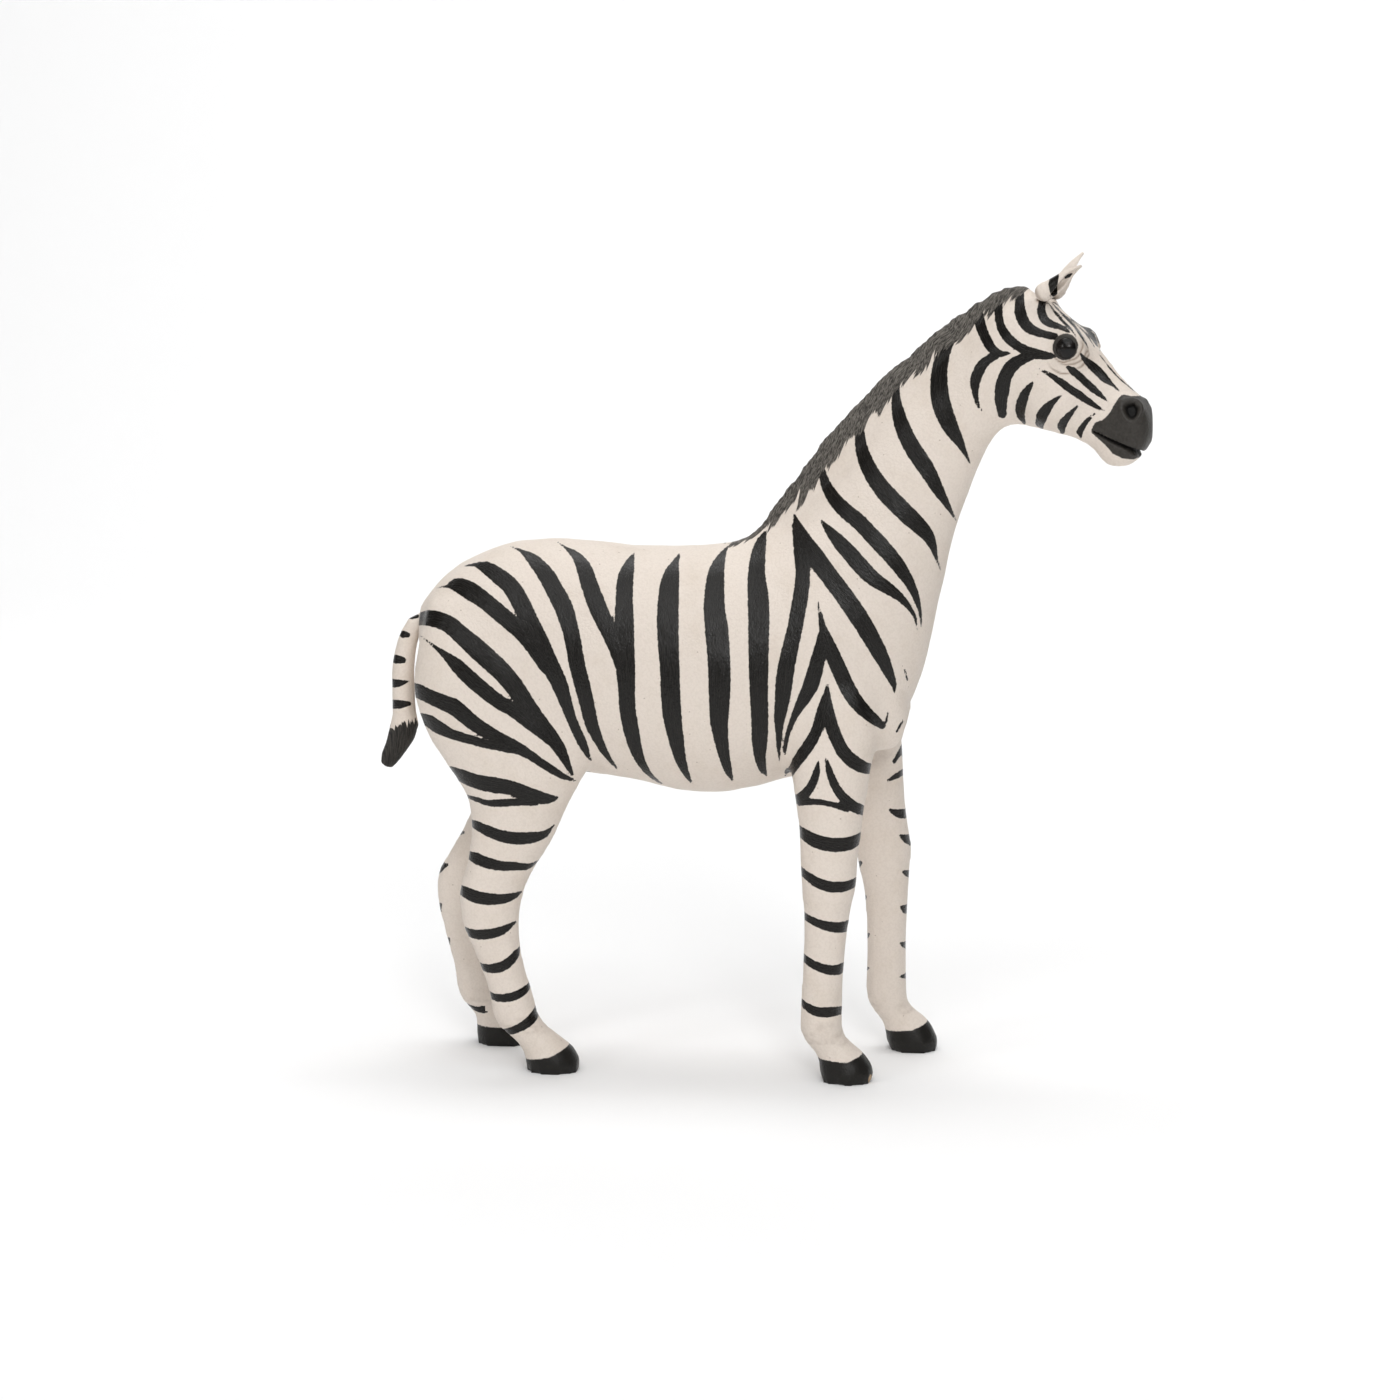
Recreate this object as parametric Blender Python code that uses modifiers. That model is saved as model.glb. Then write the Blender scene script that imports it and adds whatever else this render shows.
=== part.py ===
"""Zebra figurine: a standing zebra with a leather-covered body, in six separate pieces.

The zebra faces +X, its right side is towards -Y and its hooves stand on the plane z = 0. The free
form is drawn in parts of the figure's height, PARTS_TALL of them, so one part is a millimetre at the
real size. The body is a set of lofts and muscle shapes made into one skin. The tail, the ears and the
eyes are pieces of their own, each seated in a socket that is cut from its own shape and a clearance.
"""

import math

import bmesh
import bpy
from mathutils import Matrix, Vector

FIGURE_HEIGHT = 0.423
PARTS_TALL = 423
PART = FIGURE_HEIGHT / PARTS_TALL

EYE_DIAMETER = 0.0134
EAR_LEATHER = 0.0013
EAR_LENGTH = 0.0232
EAR_ROOT_DIAMETER = 0.0096
CLEARANCE = 0.0003

HEAD_TURN = math.radians(-15)
TURN_PIVOT = 96 * PART
TURN_START = 205 * PART
TURN_END = 285 * PART
NECK_RUN = (0.90, 0.44)

SKIN_VOXEL = 2.0 * PART
SKIN_TRIANGLES = 6300
SKIN_SMOOTHING_COUNT = 7
RING_POINTS = 40
RING_STEP = 3.0 * PART
UNDERSIDE_ROUNDNESS = 2.15
MANE_FLATNESS = 0.8
LEG_FLATNESS = 0.94

# Sections of the trunk, neck and head. Each row: top x, top z, bottom x, bottom z, half width, height
# of the widest place as a share of the section, and how round the upper half is (2 is an ellipse).
TRUNK_SECTIONS = (
    (-183, 237, -180, 206, 8, 0.50, 2.0),
    (-179, 243.5, -174, 190, 20, 0.50, 2.0),
    (-170, 254.5, -163, 176, 31, 0.50, 2.0),
    (-155, 265.5, -148, 167, 38, 0.50, 2.0),
    (-135, 273.3, -130, 160, 41, 0.50, 2.0),
    (-112, 276.0, -110, 156, 42, 0.48, 2.0),
    (-90, 275.0, -90, 153.5, 43, 0.47, 2.0),
    (-68, 273.0, -68, 150.5, 44, 0.46, 2.0),
    (-45, 273.0, -45, 145.6, 45, 0.45, 2.0),
    (-25, 274.5, -25, 144.6, 44.5, 0.45, 1.9),
    (-8, 277.0, -6, 148, 43, 0.46, 1.8),
    (8, 284.0, 12, 153, 41, 0.46, 1.75),
    (20, 294.0, 32, 157, 38.5, 0.46, 1.7),
    (30, 304.0, 50, 165, 36, 0.46, 1.7),
    (38, 313.0, 66, 178, 33, 0.47, 1.7),
    (45, 322.0, 76, 196, 30, 0.48, 1.7),
    (52, 331.0, 82.5, 217, 27, 0.48, 1.7),
    (59, 339.5, 87, 239, 24, 0.48, 1.7),
    (67, 348.5, 91.5, 260, 21.5, 0.48, 1.7),
    (77, 359.0, 96, 281, 19.5, 0.48, 1.7),
    (89, 370.5, 102.5, 301, 18, 0.48, 1.75),
    (102, 382.0, 108, 316, 17.3, 0.50, 1.8),
    (114, 392.0, 113.5, 327, 17, 0.50, 1.85),
    (127, 400.0, 118, 333.5, 17, 0.52, 1.9),
    (138.5, 402.5, 122.5, 336.5, 17.2, 0.55, 2.1),
    (149, 397.0, 130, 337.2, 17.2, 0.60, 2.2),
    (158, 389.7, 139.5, 335.7, 16.6, 0.64, 2.2),
    (166.2, 382.0, 148.5, 333.7, 14.4, 0.62, 2.1),
    (173.4, 373.7, 156.7, 331.8, 11.8, 0.56, 2.1),
    (180.4, 365.4, 162.8, 329.6, 10.3, 0.52, 2.1),
    (186.8, 359.0, 168.6, 326.2, 10.2, 0.50, 2.1),
    (191.2, 355.0, 173.8, 320.5, 10.8, 0.50, 2.1),
    (194.6, 350.4, 179.4, 317.5, 11.2, 0.52, 2.1),
    (197.4, 344.2, 185.2, 318.3, 10.8, 0.52, 2.1),
    (198.4, 337.3, 190, 321.2, 9.0, 0.52, 2.1),
    (197.4, 330.3, 194, 325.2, 4.5, 0.50, 2.0),
)

# Sections of the mane's ridge: outer x, outer z, root x, root z, half thickness.
MANE_SECTIONS = (
    (-22, 274.5, -16, 266, 1.5),
    (-12, 278.5, -6, 266, 2.6),
    (-3, 287.0, 6, 272, 3.2),
    (8, 302.0, 20, 284, 3.8),
    (20, 317.5, 33, 298, 4.2),
    (33, 334.5, 46, 314, 4.5),
    (48, 350.5, 60, 330, 4.7),
    (62, 364.5, 73, 345, 4.8),
    (77, 377.5, 87, 359, 4.8),
    (92, 389.5, 99, 371, 4.8),
    (106, 399.0, 110, 381, 4.8),
    (119, 406.4, 120, 388, 4.7),
    (129, 409.2, 127, 390, 4.4),
    (136.5, 408.4, 132, 391, 3.4),
)
MANE_LOCKS = 34
MANE_LOCK_DEPTH = 0.7

# Sections of a leg, from inside the body to the sole. Each row: x, y, z, tilt of the section in
# degrees with its front edge raised, half length fore and aft, and half width.
FORE_LEG_RIGHT = (
    (32, -20, 226, 0, 20, 12),
    (36, -24, 202, 0, 23, 14),
    (37, -26.5, 182, 0, 22.5, 15),
    (35.5, -28, 166, 0, 21, 15),
    (35.2, -29, 150, 0, 18.8, 14.2),
    (35.3, -30, 134, 0, 16.4, 13.2),
    (35, -31, 118, 0, 15, 12.6),
    (34.8, -31.5, 108, 0, 14.6, 12.4),
    (34.5, -32, 97, 0, 13.4, 11.6),
    (33.7, -32.3, 85, 0, 11.7, 10.4),
    (32.8, -32.6, 70, 0, 10.9, 9.8),
    (31.9, -33, 52, 0, 10.6, 9.6),
    (31.4, -33, 40, 4, 10.7, 9.8),
    (31.4, -33, 28, 16, 11.0, 10.4),
    (36.2, -33, 18.6, 32, 8.5, 9.2),
    (42.0, -33, 11.4, 12, 12.0, 11.0),
    (44.2, -33, 7, 5, 13.8, 12.2),
    (45.2, -33, 3, 0, 14.4, 12.8),
    (45.2, -33, -3, 0, 14.2, 12.8),
)
FORE_LEG_LEFT = (
    (34, 20, 226, 0, 20, 12),
    (40, 24, 202, 0, 23, 14),
    (44, 27, 182, 0, 23, 15),
    (47.5, 29, 164, 0, 21.8, 15),
    (51, 30, 148, 0, 19, 14.2),
    (54.5, 31, 133, 0, 16.6, 13.2),
    (57.8, 32, 118, 0, 15.4, 12.6),
    (59, 32.6, 110, 0, 15, 12.4),
    (60, 33.2, 98, 0, 13.4, 11.6),
    (61, 33.8, 86, 0, 11.7, 10.4),
    (61.3, 34.2, 70, 0, 10.9, 9.8),
    (61.4, 34.6, 54, 0, 10.6, 9.6),
    (61.4, 35, 41, 4, 10.8, 9.8),
    (61.8, 35, 29, 16, 11.0, 10.4),
    (66.8, 35, 19.4, 32, 8.4, 9.2),
    (72.2, 35, 13.2, 14, 11.8, 11.0),
    (74.6, 35, 8, 5, 13.2, 12.2),
    (76, 35, 3, 0, 14.0, 12.8),
    (76, 35, -3, 0, 13.8, 12.8),
)
HIND_LEG_RIGHT = (
    (-150, -16, 246, 0, 24, 14),
    (-144, -22, 222, 0, 35, 20),
    (-140, -23.5, 198, 0, 41, 21),
    (-134, -25, 177, 0, 40, 20.5),
    (-127.5, -26, 160, 0, 35.5, 19),
    (-126, -27, 146, 0, 28, 17),
    (-127.7, -28, 133, 0, 23.4, 15.2),
    (-130.5, -28.5, 121, 0, 21, 14),
    (-135.3, -29, 109, 0, 18.2, 12.8),
    (-140, -29, 98, 0, 17.2, 12.2),
    (-141.6, -29, 88, 0, 16, 11.6),
    (-141.2, -29, 76, 0, 14.4, 10.8),
    (-138, -28.7, 64, 0, 12.4, 10),
    (-134.7, -28.5, 52, 0, 11.4, 9.8),
    (-131, -28, 40, 4, 11.2, 9.8),
    (-128.4, -28, 28.6, 18, 11.2, 10.4),
    (-120.4, -28, 18.8, 34, 8.6, 9.2),
    (-112.4, -28, 11.6, 12, 12.0, 11.0),
    (-110, -28, 7, 5, 14, 12.2),
    (-109, -28, 3, 0, 14.4, 12.8),
    (-109, -28, -3, 0, 14.2, 12.8),
)
HIND_LEG_LEFT = (
    (-150, 16, 246, 0, 24, 14),
    (-144, 22, 222, 0, 35, 20),
    (-140, 23.5, 198, 0, 41, 21),
    (-134, 25, 177, 0, 39.5, 20.5),
    (-129, 26, 160, 0, 31.5, 19),
    (-131.5, 26.5, 146, 0, 25.5, 17),
    (-137, 27, 133, 0, 21.5, 15.2),
    (-143.5, 27, 120, 0, 19.8, 14),
    (-152, 27, 106.5, 0, 18.6, 12.8),
    (-160, 27, 95, 0, 17.8, 12.2),
    (-163.5, 27, 85, 0, 16.6, 11.6),
    (-164.2, 27, 74, 0, 14.6, 10.8),
    (-163.2, 26.7, 62, 0, 12.6, 10),
    (-161.2, 26.4, 50, 0, 11.4, 9.8),
    (-158.5, 26, 38.5, 4, 11.2, 9.8),
    (-156.8, 26, 28.5, 18, 11.4, 10.4),
    (-151.2, 26, 20, 32, 9.0, 9.2),
    (-147.0, 26, 13.4, 12, 12.2, 11.0),
    (-145, 26, 8, 5, 13.8, 12.2),
    (-144.2, 26, 3, 0, 14.2, 12.8),
    (-144.2, 26, -3, 0, 14, 12.8),
)
LEGS = (FORE_LEG_RIGHT, FORE_LEG_LEFT, HIND_LEG_RIGHT, HIND_LEG_LEFT)

# Muscle shapes that both sides share. Each row: x, y, z, half sizes along x, y and z before the
# shape is tilted, and its tilt in degrees, front end up. Those past HEAD_STARTS turn with the head.
HEAD_STARTS = 100
MUSCLES = (
    (26, 27.5, 218, 23, 11.5, 40, -16),
    (54, 15.5, 200, 18, 13.5, 32, 20),
    (-109, 28, 174, 20, 11.5, 26, 20),
    (149, 9.8, 357, 18, 8.2, 19, -50),
    (160.6, 12.6, 381.0, 9.5, 6.6, 5.6, -42),
    (158.4, 14.0, 376.6, 10.4, 6.0, 8.2, -42),
    (190.0, 8.0, 345.6, 7.4, 5.0, 7.2, -50),
    (191.2, 5.6, 334, 6.6, 5.6, 6.2, -10),
    (180.5, 5.0, 323.8, 9.5, 5.2, 5.2, -14),
    (142.5, 9.6, 399.5, 6.0, 5.0, 4.6, -40),
)

EYE_PLACE = (158.4, 15.2, 377.8)
NOSTRIL_PLACE = (190.6, 12.4, 347.4)
NOSTRIL_SIZE = (3.8, 3.9, 4.8)
NOSTRIL_TILT = -42
MOUTH_CORNER = (169.8, 336.0)
MOUTH_FRONT = (195.0, 322.4)
MOUTH_OPEN_BACK = 0.5
MOUTH_OPEN_FRONT = 2.6

EAR_PLACE = (144.6, 10.9, 405.0)
EAR_LEAN_FORWARD = {-1: math.radians(60), 1: math.radians(40)}
EAR_LEAN_OUT = math.radians(10)
EAR_OPENS_TO = math.radians(30)
EAR_BEND_BACK = 0.07
EAR_NECK = 0.10

# An ear from the middle of its plug to its tip. Each row: share of the length, radius as a share of
# the root's, and how far round the leather is rolled, in degrees.
EAR_SECTIONS = (
    (0.00, 0.97, 330),
    (0.20, 0.90, 300),
    (0.42, 0.84, 240),
    (0.62, 0.74, 185),
    (0.82, 0.48, 150),
    (1.00, 0.16, 140),
)
EAR_ROWS = 9
EAR_COLUMNS = 12
EAR_PLUG_POINTS = 14

# The tail, from inside the rump to its tip. Each row: x, z and radius.
TAIL_SECTIONS = (
    (-172, 233.5, 3.6),
    (-179, 233.0, 4.2),
    (-185.0, 229.5, 4.6),
    (-189.0, 220, 5.2),
    (-191.2, 208, 5.8),
    (-191.4, 194, 6.0),
    (-191.0, 182.5, 6.3),
    (-190.8, 177.5, 7.4),
    (-192.6, 171.5, 7.2),
    (-196.0, 164.5, 5.8),
    (-199.3, 158.5, 4.6),
    (-201.3, 155.0, 3.0),
)
TAIL_POINTS = 14
TAIL_STEP = 5.0 * PART
TAIL_SEATED = 4

COLOURS = {
    "body": ((0.80, 0.75, 0.69), 0.55),
    "tail": ((0.80, 0.75, 0.69), 0.55),
    "ear_right": ((0.80, 0.75, 0.69), 0.60),
    "ear_left": ((0.80, 0.75, 0.69), 0.60),
    "eye_right": ((0.02, 0.015, 0.012), 0.08),
    "eye_left": ((0.02, 0.015, 0.012), 0.08),
}


def parts(*values):
    """A vector given in parts of the figure's height."""
    return Vector(values) * PART


def between(before, start, end, after, share):
    """A value on the smooth curve through four neighbouring values, between start and end."""
    slope_start = (end - before) / 2
    slope_end = (after - start) / 2
    return (
        (2 * share**3 - 3 * share**2 + 1) * start
        + (share**3 - 2 * share**2 + share) * slope_start
        + (3 * share**2 - 2 * share**3) * end
        + (share**3 - share**2) * slope_end
    )


def smooth_rows(rows, step):
    """Rows of numbers with more rows between them, about one each step along their first values."""
    finer = []
    for index in range(len(rows) - 1):
        before = rows[max(index - 1, 0)]
        start = rows[index]
        end = rows[index + 1]
        after = rows[min(index + 2, len(rows) - 1)]
        length = math.dist(start[:3], end[:3]) * PART
        count = max(1, round(length / step))
        for i in range(count):
            share = i / count
            finer.append([between(*values, share) for values in zip(before, start, end, after)])
    finer.append(list(rows[-1]))
    return finer


def smooth_shares(rows, count):
    """Rows read from the smooth curve through the given rows, evenly spaced along their first value."""
    finer = []
    for i in range(count):
        share = i / (count - 1)
        index = max(j for j in range(len(rows) - 1) if rows[j][0] <= share)
        before = rows[max(index - 1, 0)]
        start = rows[index]
        end = rows[index + 1]
        after = rows[min(index + 2, len(rows) - 1)]
        part_way = (share - start[0]) / (end[0] - start[0])
        finer.append([share] + [
            between(*values, part_way) for values in zip(before[1:], start[1:], end[1:], after[1:])
        ])
    return finer


def signed_power(value, power):
    return math.copysign(abs(value) ** power, value)


def turned(point):
    """A point of the head or neck, turned with the head to the figure's right."""
    reach = point.x * NECK_RUN[0] + point.z * NECK_RUN[1]
    share = min(max((reach - TURN_START) / (TURN_END - TURN_START), 0), 1)
    share = share * share * (3 - 2 * share)
    pivot = Vector((TURN_PIVOT, 0, 0))
    return Matrix.Rotation(HEAD_TURN * share, 3, "Z") @ (point - pivot) + pivot


def add_loft(mesh, rings):
    """Adds a closed tube through rings of points to a bmesh."""
    loops = [[mesh.verts.new(point) for point in ring] for ring in rings]
    count = len(rings[0])
    for lower, upper in zip(loops, loops[1:]):
        for i in range(count):
            j = (i + 1) % count
            mesh.faces.new((lower[i], lower[j], upper[j], upper[i]))
    mesh.faces.new(loops[0])
    mesh.faces.new(loops[-1])


def add_ball(mesh, place, sizes, turn, segments=24):
    """Adds an ellipsoid with these half sizes to a bmesh."""
    matrix = Matrix.Translation(place) @ turn.to_4x4() @ Matrix.Diagonal((*sizes, 1))
    bmesh.ops.create_uvsphere(
        mesh, u_segments=segments, v_segments=segments * 2 // 3, radius=1, matrix=matrix
    )


def closed(mesh):
    """The bmesh with every face pointing out."""
    bmesh.ops.recalc_face_normals(mesh, faces=mesh.faces)
    return mesh


def as_object(name, mesh, collection):
    """A named object made from a bmesh, which is freed."""
    data = bpy.data.meshes.new(name)
    mesh.to_mesh(data)
    mesh.free()
    item = bpy.data.objects.new(name, data)
    collection.objects.link(item)
    return item


def bake(item):
    """Replaces an object's mesh by its evaluated mesh, and clears its modifiers."""
    depsgraph = bpy.context.evaluated_depsgraph_get()
    data = bpy.data.meshes.new_from_object(item.evaluated_get(depsgraph))
    old = item.data
    item.modifiers.clear()
    item.data = data
    bpy.data.meshes.remove(old)


def face_out(item):
    """Turns every face of an object's mesh to point out."""
    mesh = bmesh.new()
    mesh.from_mesh(item.data)
    closed(mesh).to_mesh(item.data)
    mesh.free()


def as_cutter(item):
    item.hide_render = True
    item.display_type = "WIRE"
    return item


def cut(item, cutter):
    """Cuts one object out of another."""
    modifier = item.modifiers.new("cut", "BOOLEAN")
    modifier.operation = "DIFFERENCE"
    modifier.solver = "EXACT"
    modifier.object = cutter


def trunk_ring(row):
    """One section of the trunk, neck or head as a ring of points."""
    top_x, top_z, bottom_x, bottom_z, half_width, widest, roundness = row
    top = parts(top_x, 0, top_z)
    bottom = parts(bottom_x, 0, bottom_z)
    ring = []
    for i in range(RING_POINTS):
        angle = math.tau * i / RING_POINTS
        rise = math.sin(angle)
        power = 2 / (roundness if rise > 0 else UNDERSIDE_ROUNDNESS)
        reach = 1 - widest if rise > 0 else widest
        height = widest + reach * signed_power(rise, power)
        side = half_width * PART * signed_power(math.cos(angle), power)
        point = bottom.lerp(top, height)
        point.y = side
        ring.append(turned(point))
    return ring


def mane_ring(row, locks):
    """One section of the mane's ridge, a narrow oval that swells and sinks along its locks."""
    outer_x, outer_z, root_x, root_z, half_thickness = row
    outer = parts(outer_x, 0, outer_z)
    root = parts(root_x, 0, root_z)
    outer += (outer - root).normalized() * MANE_LOCK_DEPTH * PART * math.sin(locks)
    ring = []
    for i in range(RING_POINTS // 2):
        angle = math.tau * i / (RING_POINTS // 2)
        point = root.lerp(outer, 0.5 + 0.5 * math.sin(angle))
        point.y = half_thickness * PART * signed_power(math.cos(angle), MANE_FLATNESS)
        ring.append(turned(point))
    return ring


def leg_ring(row):
    """One section of a leg as a ring of points."""
    x, y, z, tilt, half_length, half_width = row
    centre = parts(x, y, z)
    slope = math.radians(tilt)
    forward = Vector((math.cos(slope), 0, math.sin(slope)))
    ring = []
    for i in range(RING_POINTS):
        angle = math.tau * i / RING_POINTS
        along = half_length * PART * signed_power(math.cos(angle), LEG_FLATNESS)
        side = half_width * PART * signed_power(math.sin(angle), LEG_FLATNESS)
        ring.append(centre + forward * along + Vector((0, side, 0)))
    return ring


def tail_rings(grow, rows):
    """Rings of the tail, each grown by a margin, along its curved centre line."""
    finer = smooth_rows(rows, TAIL_STEP)
    centres = [parts(x, 0, z) for x, z, radius in finer]
    rings = []
    for index, (x, z, radius) in enumerate(finer):
        ahead = centres[min(index + 1, len(centres) - 1)]
        behind = centres[max(index - 1, 0)]
        across = (ahead - behind).normalized().cross(Vector((0, 1, 0)))
        size = radius * PART + grow
        rings.append([
            centres[index]
            + across * size * math.cos(math.tau * i / TAIL_POINTS)
            + Vector((0, size * math.sin(math.tau * i / TAIL_POINTS), 0))
            for i in range(TAIL_POINTS)
        ])
    return rings


def side_turn(tilt):
    """The turn of a shape that tilts its front end up by so many degrees."""
    return Matrix.Rotation(math.radians(-tilt), 3, "Y")


def head_frame(place, side):
    """Where a place on the head goes, and the head's turn there."""
    x, y, z = place
    return turned(parts(x, side * y, z)), Matrix.Rotation(HEAD_TURN, 3, "Z")


def build_body(collection):
    """The covered body: trunk, neck, head, mane ridge and legs as one skin."""
    mesh = bmesh.new()
    add_loft(mesh, [trunk_ring(row) for row in smooth_rows(TRUNK_SECTIONS, RING_STEP)])
    crest = smooth_rows(MANE_SECTIONS, RING_STEP / 2)
    wave = math.tau * MANE_LOCKS / len(crest)
    add_loft(mesh, [mane_ring(row, wave * i) for i, row in enumerate(crest)])
    for leg in LEGS:
        add_loft(mesh, [leg_ring(row) for row in smooth_rows(leg, RING_STEP)])
    for x, y, z, half_x, half_y, half_z, tilt in MUSCLES:
        for side in (-1, 1):
            place = turned(parts(x, side * y, z))
            turn = Matrix.Rotation(HEAD_TURN if x > HEAD_STARTS else 0, 3, "Z") @ side_turn(tilt)
            add_ball(mesh, place, parts(half_x, half_y, half_z), turn)
    body = as_object("body", closed(mesh), collection)
    remesh = body.modifiers.new("skin", "REMESH")
    remesh.mode = "VOXEL"
    remesh.voxel_size = SKIN_VOXEL
    soften = body.modifiers.new("soften", "SMOOTH")
    soften.factor = 0.5
    soften.iterations = SKIN_SMOOTHING_COUNT
    bake(body)
    thin = body.modifiers.new("thin", "DECIMATE")
    triangles = sum(len(face.vertices) - 2 for face in body.data.polygons)
    thin.ratio = SKIN_TRIANGLES / triangles
    bake(body)
    return body


def flatten_soles(body):
    """Cuts the hooves flat on the plane z = 0 and closes the soles."""
    mesh = bmesh.new()
    mesh.from_mesh(body.data)
    geometry = mesh.verts[:] + mesh.edges[:] + mesh.faces[:]
    bmesh.ops.bisect_plane(
        mesh, geom=geometry, dist=1e-6, plane_co=(0, 0, 0), plane_no=(0, 0, 1), clear_inner=True
    )
    rims = [edge for edge in mesh.edges if edge.is_boundary]
    bmesh.ops.holes_fill(mesh, edges=rims, sides=0)
    bmesh.ops.triangulate(mesh, faces=[face for face in mesh.faces if len(face.verts) > 4])
    closed(mesh).to_mesh(body.data)
    mesh.free()


def build_mouth_cutter(collection):
    """A blade for the mouth: thin at its corners, wider at the front."""
    mesh = bmesh.new()
    corner = parts(MOUTH_CORNER[0], 0, MOUTH_CORNER[1])
    front = parts(MOUTH_FRONT[0], 0, MOUTH_FRONT[1])
    along = (front - corner).normalized()
    rise = Vector((-along.z, 0, along.x))
    head_half_width = max(row[4] for row in TRUNK_SECTIONS if row[0] > HEAD_STARTS)
    reach = head_half_width * PART
    rings = []
    for place, opening in ((corner, MOUTH_OPEN_BACK), (front, MOUTH_OPEN_FRONT)):
        half = rise * opening * PART / 2
        rings.append([
            turned(place + height + Vector((0, side, 0)))
            for side, height in ((-reach, -half), (reach, -half), (reach, half), (-reach, half))
        ])
    add_loft(mesh, rings)
    return as_cutter(as_object("mouth_blade", closed(mesh), collection))


def build_nostril_cutter(side, collection):
    mesh = bmesh.new()
    place, turn = head_frame(NOSTRIL_PLACE, side)
    add_ball(mesh, place, parts(*NOSTRIL_SIZE), turn @ side_turn(NOSTRIL_TILT), 12)
    return as_cutter(as_object("nostril_hollow", closed(mesh), collection))


def build_eye(name, side, margin, collection, segments):
    """A glass eye, or with a margin the shape of its socket."""
    mesh = bmesh.new()
    place, turn = head_frame(EYE_PLACE, side)
    radius = EYE_DIAMETER / 2 + margin
    add_ball(mesh, place, (radius, radius, radius), turn, segments)
    return as_object(name, closed(mesh), collection)


def ear_turn(side):
    """The turn that stands an ear on the head, leaning forward and out and open to the front."""
    lean = Matrix.Rotation(EAR_LEAN_FORWARD[side], 3, "Y")
    out = Matrix.Rotation(-side * EAR_LEAN_OUT, 3, "X")
    opening = Matrix.Rotation(side * EAR_OPENS_TO, 3, "Z")
    return Matrix.Rotation(HEAD_TURN, 3, "Z") @ out @ lean @ opening


def add_ear_plug(mesh, side, margin, neck):
    """Adds the plug that fills an ear's root: half a ball with a straight neck above it."""
    place, _ = head_frame(EAR_PLACE, side)
    turn = ear_turn(side)
    radius = EAR_ROOT_DIAMETER / 2 + margin
    levels = [math.radians(angle) for angle in (-78, -60, -42, -24, -8)]
    outline = [(radius * math.cos(level), radius * math.sin(level)) for level in levels]
    outline.append((radius, neck))
    rings = []
    for distance, height in outline:
        rings.append([
            place + turn @ Vector((distance * math.cos(angle), distance * math.sin(angle), height))
            for angle in (math.tau * i / EAR_PLUG_POINTS for i in range(EAR_PLUG_POINTS))
        ])
    add_loft(mesh, rings)


def ear_point(along, radius_share, roll, across):
    """A point of an ear's leather: its axis is +Z and it opens towards +X."""
    radius = (EAR_ROOT_DIAMETER / 2 - EAR_LEATHER / 2) * radius_share
    angle = math.radians(roll) * (across - 0.5)
    bend = -EAR_BEND_BACK * EAR_LENGTH * along**2
    return Vector((bend - radius * math.cos(angle), radius * math.sin(angle), EAR_LENGTH * along))


def build_ear(name, side, collection):
    """An ear of curled leather: a pointed leaf rolled about its length, joined to its plug."""
    place, _ = head_frame(EAR_PLACE, side)
    turn = ear_turn(side)
    rows = smooth_shares(EAR_SECTIONS, EAR_ROWS)
    leaf = bmesh.new()
    grid = []
    for along, radius_share, roll in rows:
        points = [ear_point(along, radius_share, roll, j / (EAR_COLUMNS - 1)) for j in range(EAR_COLUMNS)]
        grid.append([leaf.verts.new(place + turn @ point) for point in points])
    for lower, upper in zip(grid, grid[1:]):
        for j in range(EAR_COLUMNS - 1):
            leaf.faces.new((lower[j], lower[j + 1], upper[j + 1], upper[j]))
    ear = as_object(name, leaf, collection)
    sheet = ear.modifiers.new("leather", "SOLIDIFY")
    sheet.thickness = EAR_LEATHER
    sheet.offset = 0
    bake(ear)
    face_out(ear)
    plug_mesh = bmesh.new()
    add_ear_plug(plug_mesh, side, 0, EAR_NECK * EAR_LENGTH)
    plug = as_object(name + "_plug", closed(plug_mesh), collection)
    join = ear.modifiers.new("join", "BOOLEAN")
    join.operation = "UNION"
    join.solver = "EXACT"
    join.object = plug
    bake(ear)
    bpy.data.objects.remove(plug)
    return ear


def build_tail(collection):
    mesh = bmesh.new()
    add_loft(mesh, tail_rings(0, TAIL_SECTIONS))
    return as_object("tail", closed(mesh), collection)


def build_tail_socket(collection):
    mesh = bmesh.new()
    add_loft(mesh, tail_rings(CLEARANCE, TAIL_SECTIONS[:TAIL_SEATED]))
    return as_cutter(as_object("tail_socket", closed(mesh), collection))


def build_ear_socket(side, collection):
    mesh = bmesh.new()
    add_ear_plug(mesh, side, CLEARANCE, EAR_LENGTH / 2)
    return as_cutter(as_object("ear_socket", closed(mesh), collection))


def finish(item):
    """Gives a piece its own material and smooth shading."""
    colour, roughness = COLOURS[item.name]
    material = bpy.data.materials.new(item.name)
    material.use_nodes = True
    shader = material.node_tree.nodes["Principled BSDF"]
    shader.inputs["Base Color"].default_value = (*colour, 1)
    shader.inputs["Roughness"].default_value = roughness
    item.data.materials.clear()
    item.data.materials.append(material)
    item.data.shade_smooth()
    item.data.set_sharp_from_angle(angle=math.radians(40))


def centre_on_floor(items):
    """Moves every piece so that the middle of the whole box's underside is the origin."""
    corners = [vertex.co for item in items for vertex in item.data.vertices]
    low = [min(corner[axis] for corner in corners) for axis in range(3)]
    high = [max(corner[axis] for corner in corners) for axis in range(3)]
    shift = Vector((-(low[0] + high[0]) / 2, -(low[1] + high[1]) / 2, 0))
    for item in items:
        item.data.transform(Matrix.Translation(shift))


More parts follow.
